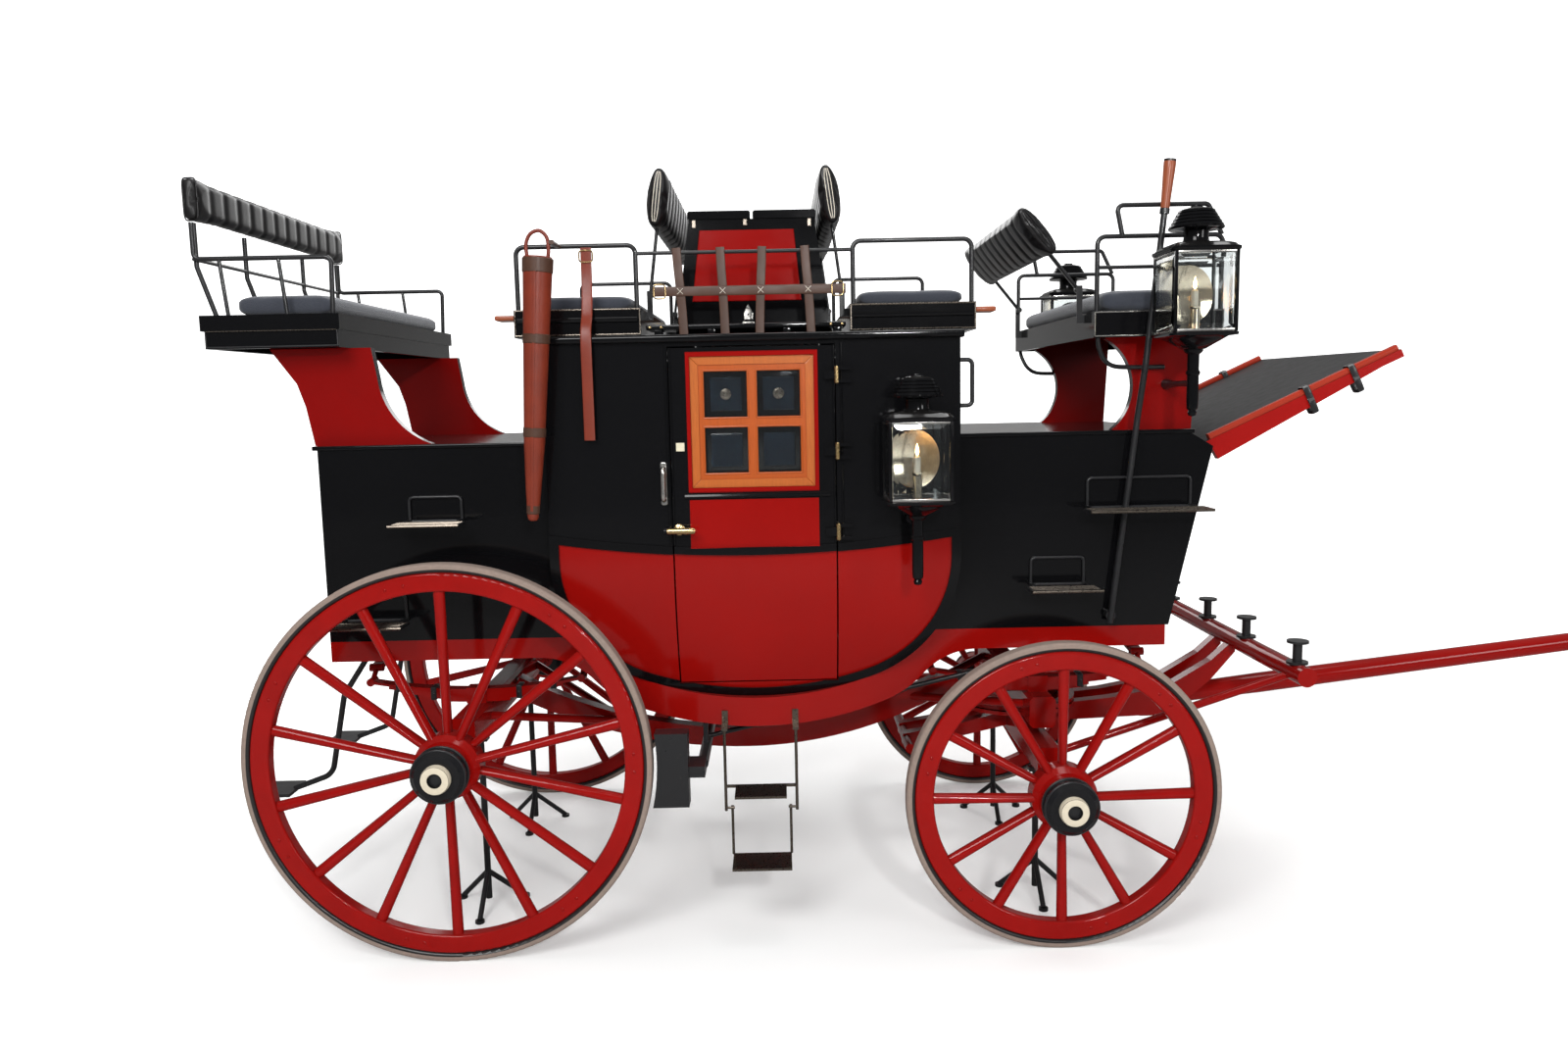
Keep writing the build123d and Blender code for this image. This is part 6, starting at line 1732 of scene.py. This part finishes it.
@dataclass
class Imperial:
    """Red panels, locks and clasps of the chest on the roof."""

    base_z: float = 1.985
    top_z: float = 2.368
    base_half: float = 0.450
    top_half: float = 0.420
    panel: tuple[Pair, ...] = ((0.792, 2.100), (1.152, 2.100), (1.130, 2.332), (0.820, 2.332))
    shield: tuple[Pair, ...] = ((0.961, 2.038), (0.989, 2.038), (0.991, 2.060), (0.975, 2.090),
                                (0.959, 2.060))
    keyhole: tuple[Pair, ...] = ((0.975, 2.056), (0.968, 2.0225), (0.981, 2.0225))

    def dress(self) -> None:
        """Builds the chest's fittings on both sides."""
        for side in SIDES:
            raised(f"imperial_panel_{side.tag}", self.on_face(self.panel, side), self.out(side),
                   0.004, Palette.RED, "coach", 0.003)
            merged(f"imperial_locks_{side.tag}", self.locks(side))

    def on_face(self, points: object, side: Side) -> Array:
        """Points of the sloping wall from X and Z: y = base + (top - base) (z - z0) / height."""
        x, z = np.asarray(points, float).T
        share = (z - self.base_z) / (self.top_z - self.base_z)
        y = self.base_half + (self.top_half - self.base_half) * share
        return on_side(np.stack([x, y, z], -1), side)

    def out(self, side: Side) -> Point:
        """Direction square to the side wall."""
        slope = (self.base_half - self.top_half) / (self.top_z - self.base_z)
        return (0.0, float(side.value), slope)

    def locks(self, side: Side) -> list[Piece]:
        """Lock plates with their studs, a clasp, and small plates at the chest's corners."""
        def block(x: Pair, z: Pair) -> list[Pair]:
            """Corners of an upright plate."""
            return [(x[0], z[0]), (x[1], z[0]), (x[1], z[1]), (x[0], z[1])]

        plates = [
            ("lock_shield", self.shield, 0.005, Palette.NICKEL),
            ("lock_plate", block((0.955, 0.994), (2.012, 2.033)), 0.006, Palette.NICKEL),
            ("lid_clasp", block((0.964, 0.977), (2.345, 2.367)), 0.006, Palette.EDGE),
            ("corner_rear", block((0.796, 0.808), (2.340, 2.366)), 0.004, Palette.EDGE),
            ("corner_front", block((1.176, 1.188), (2.340, 2.366)), 0.004, Palette.EDGE),
        ]
        pieces = [
            raised(name, self.on_face(corners, side), self.out(side), thick,
                   finish, "coach")
            for name, corners, thick, finish in plates
        ]
        holes = self.on_face(self.keyhole, side) + np.array(self.out(side)) * 0.005
        pieces.append(studs("lock_studs", holes, self.out(side), 0.0035, 0.002,
                            Palette.IRON, "coach"))
        return pieces


@dataclass
class SeatTrim:
    """Metal edging, mouldings, tongues and screws on the ends of the outside seats."""

    roof: tuple[Pair, ...] = ((0.238, 0.638), (1.300, 1.700))
    roof_z: Pair = (1.988, 2.071)
    roof_y: float = 0.600
    tongues: tuple[Pair, ...] = ((0.176, 0.240), (1.698, 1.764))
    hind_y: float = 0.590
    box_y: float = 0.575

    def dress(self) -> None:
        """Builds the trim on both sides."""
        for side in SIDES:
            merged(f"roof_seat_trim_{side.tag}", self.roof_ends(side))
            merged(f"hind_seat_trim_{side.tag}", self.hind_end(side))
            merged(f"box_seat_trim_{side.tag}", self.box_end(side))

    def edging(self, name: str, x: Pair, z: Pair, y: float, side: Side, finish: Finish) -> list:
        """Thin beads round a seat's end."""
        (rear, front), (low, high) = (x[0] + 0.003, x[1] - 0.003), (z[0] + 0.003, z[1] - 0.002)
        corner = [(rear, y, low), (front, y, low), (front, y, high), (rear, y, high)]
        return bars(name, on_side(corner, side), 0.0026, finish, "coach")

    def line(
        self, name: str, x: Pair, z: float, y: float, side: Side, radius: float, finish: Finish
    ) -> list:
        """One level bead along a seat's end."""
        ends = on_side([(x[0], y, z), (x[1], y, z)], side)
        return bars(name, ends, radius, finish, "coach", False)

    def roof_ends(self, side: Side) -> list[Piece]:
        """Steel edging and a black moulding, and the wooden tongues beyond the seats."""
        y, pieces = self.roof_y, []
        for x in self.roof:
            pieces += self.edging("roof_edge", x, self.roof_z, y, side, Palette.EDGE)
            pieces += self.line("roof_moulding", (x[0] + 0.010, x[1] - 0.010), 2.036, y,
                                side, 0.0085, Palette.BLACK)
        for ends in self.tongues:
            pieces.append(slab("roof_tongue", ends, span(0.520, y, side),
                               (2.040, 2.056), Palette.GRIP, "coach", 0.006))
        return pieces

    def hind_end(self, side: Side) -> list[Piece]:
        """Iron edging, a thin line between the hind seat's two tiers, and two brass screws."""
        y = self.hind_y
        pieces = self.edging("hind_edge", (-0.744, -0.322), (1.972, 2.074), y, side, Palette.IRON)
        pieces += self.line("hind_line", (-0.741, -0.325), 2.026, y, side, 0.0024, Palette.EDGE)
        screws = on_side([(-0.352, y, 2.0375), (-0.339, y, 2.0375)], side)
        pieces.append(studs("hind_screws", screws, side.out, 0.0042, 0.003, Palette.BRASS, "coach"))
        return pieces

    def box_end(self, side: Side) -> list[Piece]:
        """Nickel edging, and the bent iron under the driver's seat."""
        pieces = self.edging("box_edge", (2.081, 2.500), (1.954, 2.034), self.box_y, side,
                             Palette.NICKEL)
        path = smooth_path([(2.098, 0.560, 1.953), (2.104, 0.552, 1.925), (2.124, 0.540, 1.885),
                            (2.158, 0.530, 1.862), (2.22, 0.520, 1.857), (2.331, 0.508, 1.856)], 6)
        pieces.append(tube("box_iron", on_side(path, side), 0.0075, Palette.IRON, "coach", UP, 12))
        return pieces


@dataclass
class BoxTrim:
    """Rails and straps of the footboard, and the brake lever's grip."""

    foot: Point = (2.467, 0.507, 1.608)
    tip: Point = (3.102, 0.507, 1.898)
    loops: Pair = (0.525, 0.755)
    grip_foot: Point = (2.2915, -0.600, 2.345)
    grip_top: Point = (2.3052, -0.600, 2.497)

    def dress(self) -> None:
        """Builds the trim on both sides and the grip on the right."""
        for side in SIDES:
            merged(f"footboard_trim_{side.tag}", self.cheek(side))
        self.grip()

    def cheek(self, side: Side) -> list[Piece]:
        """Rounded red rail along the cheek's top edge, and two iron straps over it."""
        low, high = np.array(self.foot), np.array(self.tip)
        along = (high - low) / np.linalg.norm(high - low)
        up = np.array([-along[2], 0.0, along[0]])
        share = np.linspace(0, 1, 8)[:, None]
        path = low + 0.02 * along + share * (high - low - 0.028 * along) + 0.009 * up
        pieces = [strap("rail", on_side(path, side), 0.026, 0.022, Palette.RAIL, "coach", ACROSS)]
        turn = np.linspace(0, 2 * np.pi, 33)
        reach = superellipse(turn, 8)
        ring = (0.019 * reach * np.cos(turn))[:, None] * np.array(ACROSS)
        ring = ring + (0.047 * reach * np.sin(turn))[:, None] * up
        for share_along in self.loops:
            middle = low + share_along * (high - low) - 0.022 * up
            pieces.append(strap("loop", on_side(middle + ring, side), 0.022,
                                0.004, Palette.IRON, "coach", tuple(along)))
        return pieces

    def grip(self) -> None:
        """Turned wooden grip, swelling towards its rounded top, in an iron ferrule."""
        low = np.array(self.grip_foot)
        rise = np.array(self.grip_top) - low
        share = np.array([0.0, 0.01, 0.05, 0.2, 0.4, 0.6, 0.8, 0.92, 0.97, 0.99, 1.0])[:, None]
        radius = np.array([0.011, 0.0138, 0.0142, 0.0148, 0.016, 0.0174, 0.0188, 0.0194, 0.0178,
                           0.0135, 0.005])
        tube("lever_grip", low + share * rise, radius, Palette.GRIP, "coach", sides=28)
        ferrule = low + np.array([-0.10, -0.02, 0.0])[:, None] * rise
        tube("lever_ferrule", ferrule, 0.0152, Palette.IRON, "coach", sides=24)


@dataclass
class Running:
    """Spring clips, and bright step edges that are a painted highlight.

    A spring's lower face rises as a circle does, from its height at the axle. A tread is its
    rear end, its front end and its height.
    """

    springs: tuple[Pair, ...] = ((0.0, 0.7535), (WHEELBASE, 0.752))
    spring_y: float = 0.380
    camber_r: float = 1.976
    clip_half: float = 0.0265
    clips_x: tuple[float, ...] = (-0.268, -0.148, 0.148, 0.268)
    treads: tuple[Point, ...] = ((-0.150, 0.030, 1.398), (-0.380, -0.170, 1.072),
                                 (1.886, 2.070, 1.146), (2.070, 2.418, 1.398))

    def dress(self) -> None:
        """Builds the clips and edges on both sides."""
        for side in SIDES:
            merged(f"spring_clips_{side.tag}", self.clips(side))
            merged(f"step_edges_{side.tag}", self.step_edges(side))

    def clips(self, side: Side) -> list[Piece]:
        """Black clips round the leaves, four to a side spring, each with a bolt through it."""
        y, half = self.spring_y, self.clip_half
        pieces = []
        for axle_x, low in self.springs:
            for reach in self.clips_x:
                x = axle_x + reach
                rise = self.camber_r - math.sqrt(self.camber_r**2 - reach**2)
                under = 0.025 if abs(reach) > 0.2 else 0.007
                z = (low + rise + under - 0.003, low + rise + 0.050)
                pieces.append(slab("clip", about(x, 0.010), span(y - half, y + half, side), z,
                                   Palette.IRON, "coach", 0.003))
                head = on_side([(x, y + half, sum(z) / 2)], side)
                pieces.append(studs("clip_bolt", head, side.out, 0.006, 0.004,
                                    Palette.IRON, "coach"))
        return pieces

    def step_edges(self, side: Side) -> list[Piece]:
        """Bright steel strip along each tread's outer edge of the boot's steps, a painted
        highlight, and ribs across it.
        """
        pieces = []
        for start, end, z in self.treads:
            # The first line is the bright strip along the tread's outer edge: a painted highlight.
            lines = [(0.684, 0.004, 0.022, 0.0052)]
            lines += [(0.612 + 0.018 * rib, 0.008, 0.014, 0.002) for rib in range(4)]
            for y, lift, past, radius in lines:
                line = on_side([(start - past, y, z + lift), (end + past, y, z + lift)], side)
                pieces += bars("tread", line, radius, Palette.STEP, "coach", False)
        return pieces


@dataclass
class Studio:
    """Floor, backdrop, lights and camera.

    The backdrop's floor runs from floor_y to bend_y, and bends up by bend_r into a wall. A panel
    light is its name, its place, its width and its power.
    """

    floor_y: float = -14.0
    bend_y: float = 5.0
    bend_r: float = 3.0
    wall_z: float = 12.0
    half_width: float = 22.0
    gloss_share: float = 0.14
    world: float = 0.42
    world_seen: float = 0.64
    world_glossy: float = -0.26
    aim: Point = (-0.8, 0.0, 1.2)
    panels: tuple[tuple[str, Point, float, float], ...] = (
        ("key", (-3.5, -6.0, 5.5), 3.0, 360.0), ("fill", (5.0, -6.5, 3.5), 2.0, 110.0),
        ("top", (0.0, 0.5, 6.5), 4.0, 230.0), ("back", (-2.0, 6.0, 5.0), 4.0, 160.0),
        ("spot", (-0.4, -6.2, 3.4), 0.35, 130.0),
    )
    eye: Point = (1.0620, -4.0957, 1.7887)
    yaw: float = 0.00462929
    pitch: float = -0.116658
    roll: float = -0.0203223

    def build(self) -> None:
        """Makes the stage and the camera."""
        self.backdrop()
        self.lights()
        self.camera()

    def backdrop(self) -> None:
        """Pale floor that bends up into a wall behind the coach: a profile carried along X."""
        turn = np.linspace(0, np.pi / 2, 24)
        y = np.concatenate([[self.floor_y], self.bend_y + self.bend_r * np.sin(turn),
                            [self.bend_y + self.bend_r]])
        z = np.concatenate([[0.0], self.bend_r * (1 - np.cos(turn)), [self.wall_z]])
        x = np.array([[-self.half_width], [self.half_width]])
        grid = np.stack(np.broadcast_arrays(x, y, z), -1)
        count = len(y)
        faces = [[j, j + 1, count + j + 1, count + j] for j in range(count - 1)]
        mesh = bpy.data.meshes.new("floor")
        mesh.from_pydata(grid.reshape(-1, 3).tolist(), [], faces)
        mesh.polygons.foreach_set("use_smooth", np.ones(len(mesh.polygons), bool))
        floor = bpy.data.objects.new("floor", mesh)
        bpy.context.scene.collection.objects.link(floor)
        mesh.materials.append(self.pale())

    def pale(self) -> bpy.types.Material:
        """White that glows for the camera and in glass, fainter in varnish, and lights nothing."""
        shader = Shader("PaleFloor")
        path = shader.add("ShaderNodeLightPath", {})
        glossy = path.outputs["Is Glossy Ray"]
        seen = shader.calc("MAXIMUM", path.outputs["Is Camera Ray"],
                           path.outputs["Is Transmission Ray"])
        seen = shader.calc("MAXIMUM", seen, shader.calc("MULTIPLY", glossy, self.gloss_share))
        x, y, z = shader.axes()
        far = shader.step(shader.distance(x, y), 4.6, 2.0)
        height = shader.calc("MAXIMUM", shader.step(z, 0.6, 0.6), far)
        glow = shader.calc("MULTIPLY", seen, shader.spread(height, 0.2, 1.0))
        shader.set(Base_Color=shader.mix(glossy, (0.8, 0.8, 0.79), (0.2, 0.195, 0.19)))
        shader.set(Roughness=0.9, Emission_Color=(1.0, 1.0, 1.0), Emission_Strength=glow)
        return shader.material

    def lights(self) -> None:
        """Soft world light, white as the camera sees it, four broad panels and one small one."""
        world = bpy.data.worlds.new("studio")
        bpy.context.scene.world = world
        world.use_nodes = True
        tree = world.node_tree
        sky = tree.nodes["Background"]
        sky.inputs[0].default_value = (0.95, 0.97, 1.0, 1.0)
        path = tree.nodes.new("ShaderNodeLightPath")
        white, dim = tree.nodes.new("ShaderNodeMath"), tree.nodes.new("ShaderNodeMath")
        for node, ray, change in ((white, "Is Camera Ray", self.world_seen),
                                  (dim, "Is Glossy Ray", self.world_glossy)):
            node.operation = "MULTIPLY_ADD"
            tree.links.new(path.outputs[ray], node.inputs[0])
            node.inputs[1].default_value = change
        white.inputs[2].default_value = self.world
        tree.links.new(white.outputs[0], dim.inputs[2])
        tree.links.new(dim.outputs[0], sky.inputs[1])
        for name, spot, size, power in self.panels:
            light = bpy.data.lights.new(name, "AREA")
            light.energy, light.size = power, size
            panel = bpy.data.objects.new(name, light)
            panel.location = spot
            toward = Vector(self.aim) - Vector(spot)
            panel.rotation_euler = toward.to_track_quat("-Z", "Y").to_euler()
            bpy.context.scene.collection.objects.link(panel)

    def camera(self) -> None:
        """Camera at the photograph's viewing angle, from its fitted place, yaw, pitch and roll."""
        yaw, pitch, roll = self.yaw, self.pitch, self.roll
        level = math.cos(pitch)
        ahead = Vector((math.sin(yaw) * level, math.cos(yaw) * level, math.sin(pitch)))
        right = Vector((math.cos(yaw), -math.sin(yaw), 0.0))
        up = right.cross(ahead)
        rolled_right = right * math.cos(roll) + up * math.sin(roll)
        rolled_up = up * math.cos(roll) - right * math.sin(roll)
        lens = bpy.data.cameras.new("camera")
        lens.lens, lens.sensor_width = 25.0, 36.0
        lens.clip_start, lens.clip_end = 0.05, 100.0
        camera = bpy.data.objects.new("camera", lens)
        turn = Matrix((rolled_right, rolled_up, -ahead)).transposed().to_4x4()
        camera.matrix_world = Matrix.Translation(place(self.eye).tolist()) @ turn
        bpy.context.scene.collection.objects.link(camera)
        bpy.context.scene.camera = camera


def main() -> None:
    """Builds the coach's pieces in order."""
    logging.basicConfig(level=logging.INFO, format="%(name)s: %(message)s")
    bpy.context.scene.view_settings.view_transform = "Standard"
    Studio().build()
    PlainNodes().dress()
    for side in SIDES:
        Wheel("rear", side, 0.0, 0.6475, 14).dress()
        Wheel("front", side, WHEELBASE, 0.502, 12).dress()
        Lamp("body", side, 1.487, 0.780, 1.467, 1.198, 1.390, 0.630).dress()
        Lamp("box", side, 2.343, 0.728, 1.954, 1.699, 1.800, 0.500).dress()
    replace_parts(bpy.data.objects["lamp_case_body_left"], "lamp_cases", "lamp_glass")
    for part in (Backs(), Cushions(), Straps(), *(Door(side) for side in SIDES), CabinTrim(),
                 Imperial(), SeatTrim(), BoxTrim(), Running()):
        part.dress()


if __name__ == "__main__":
    main()
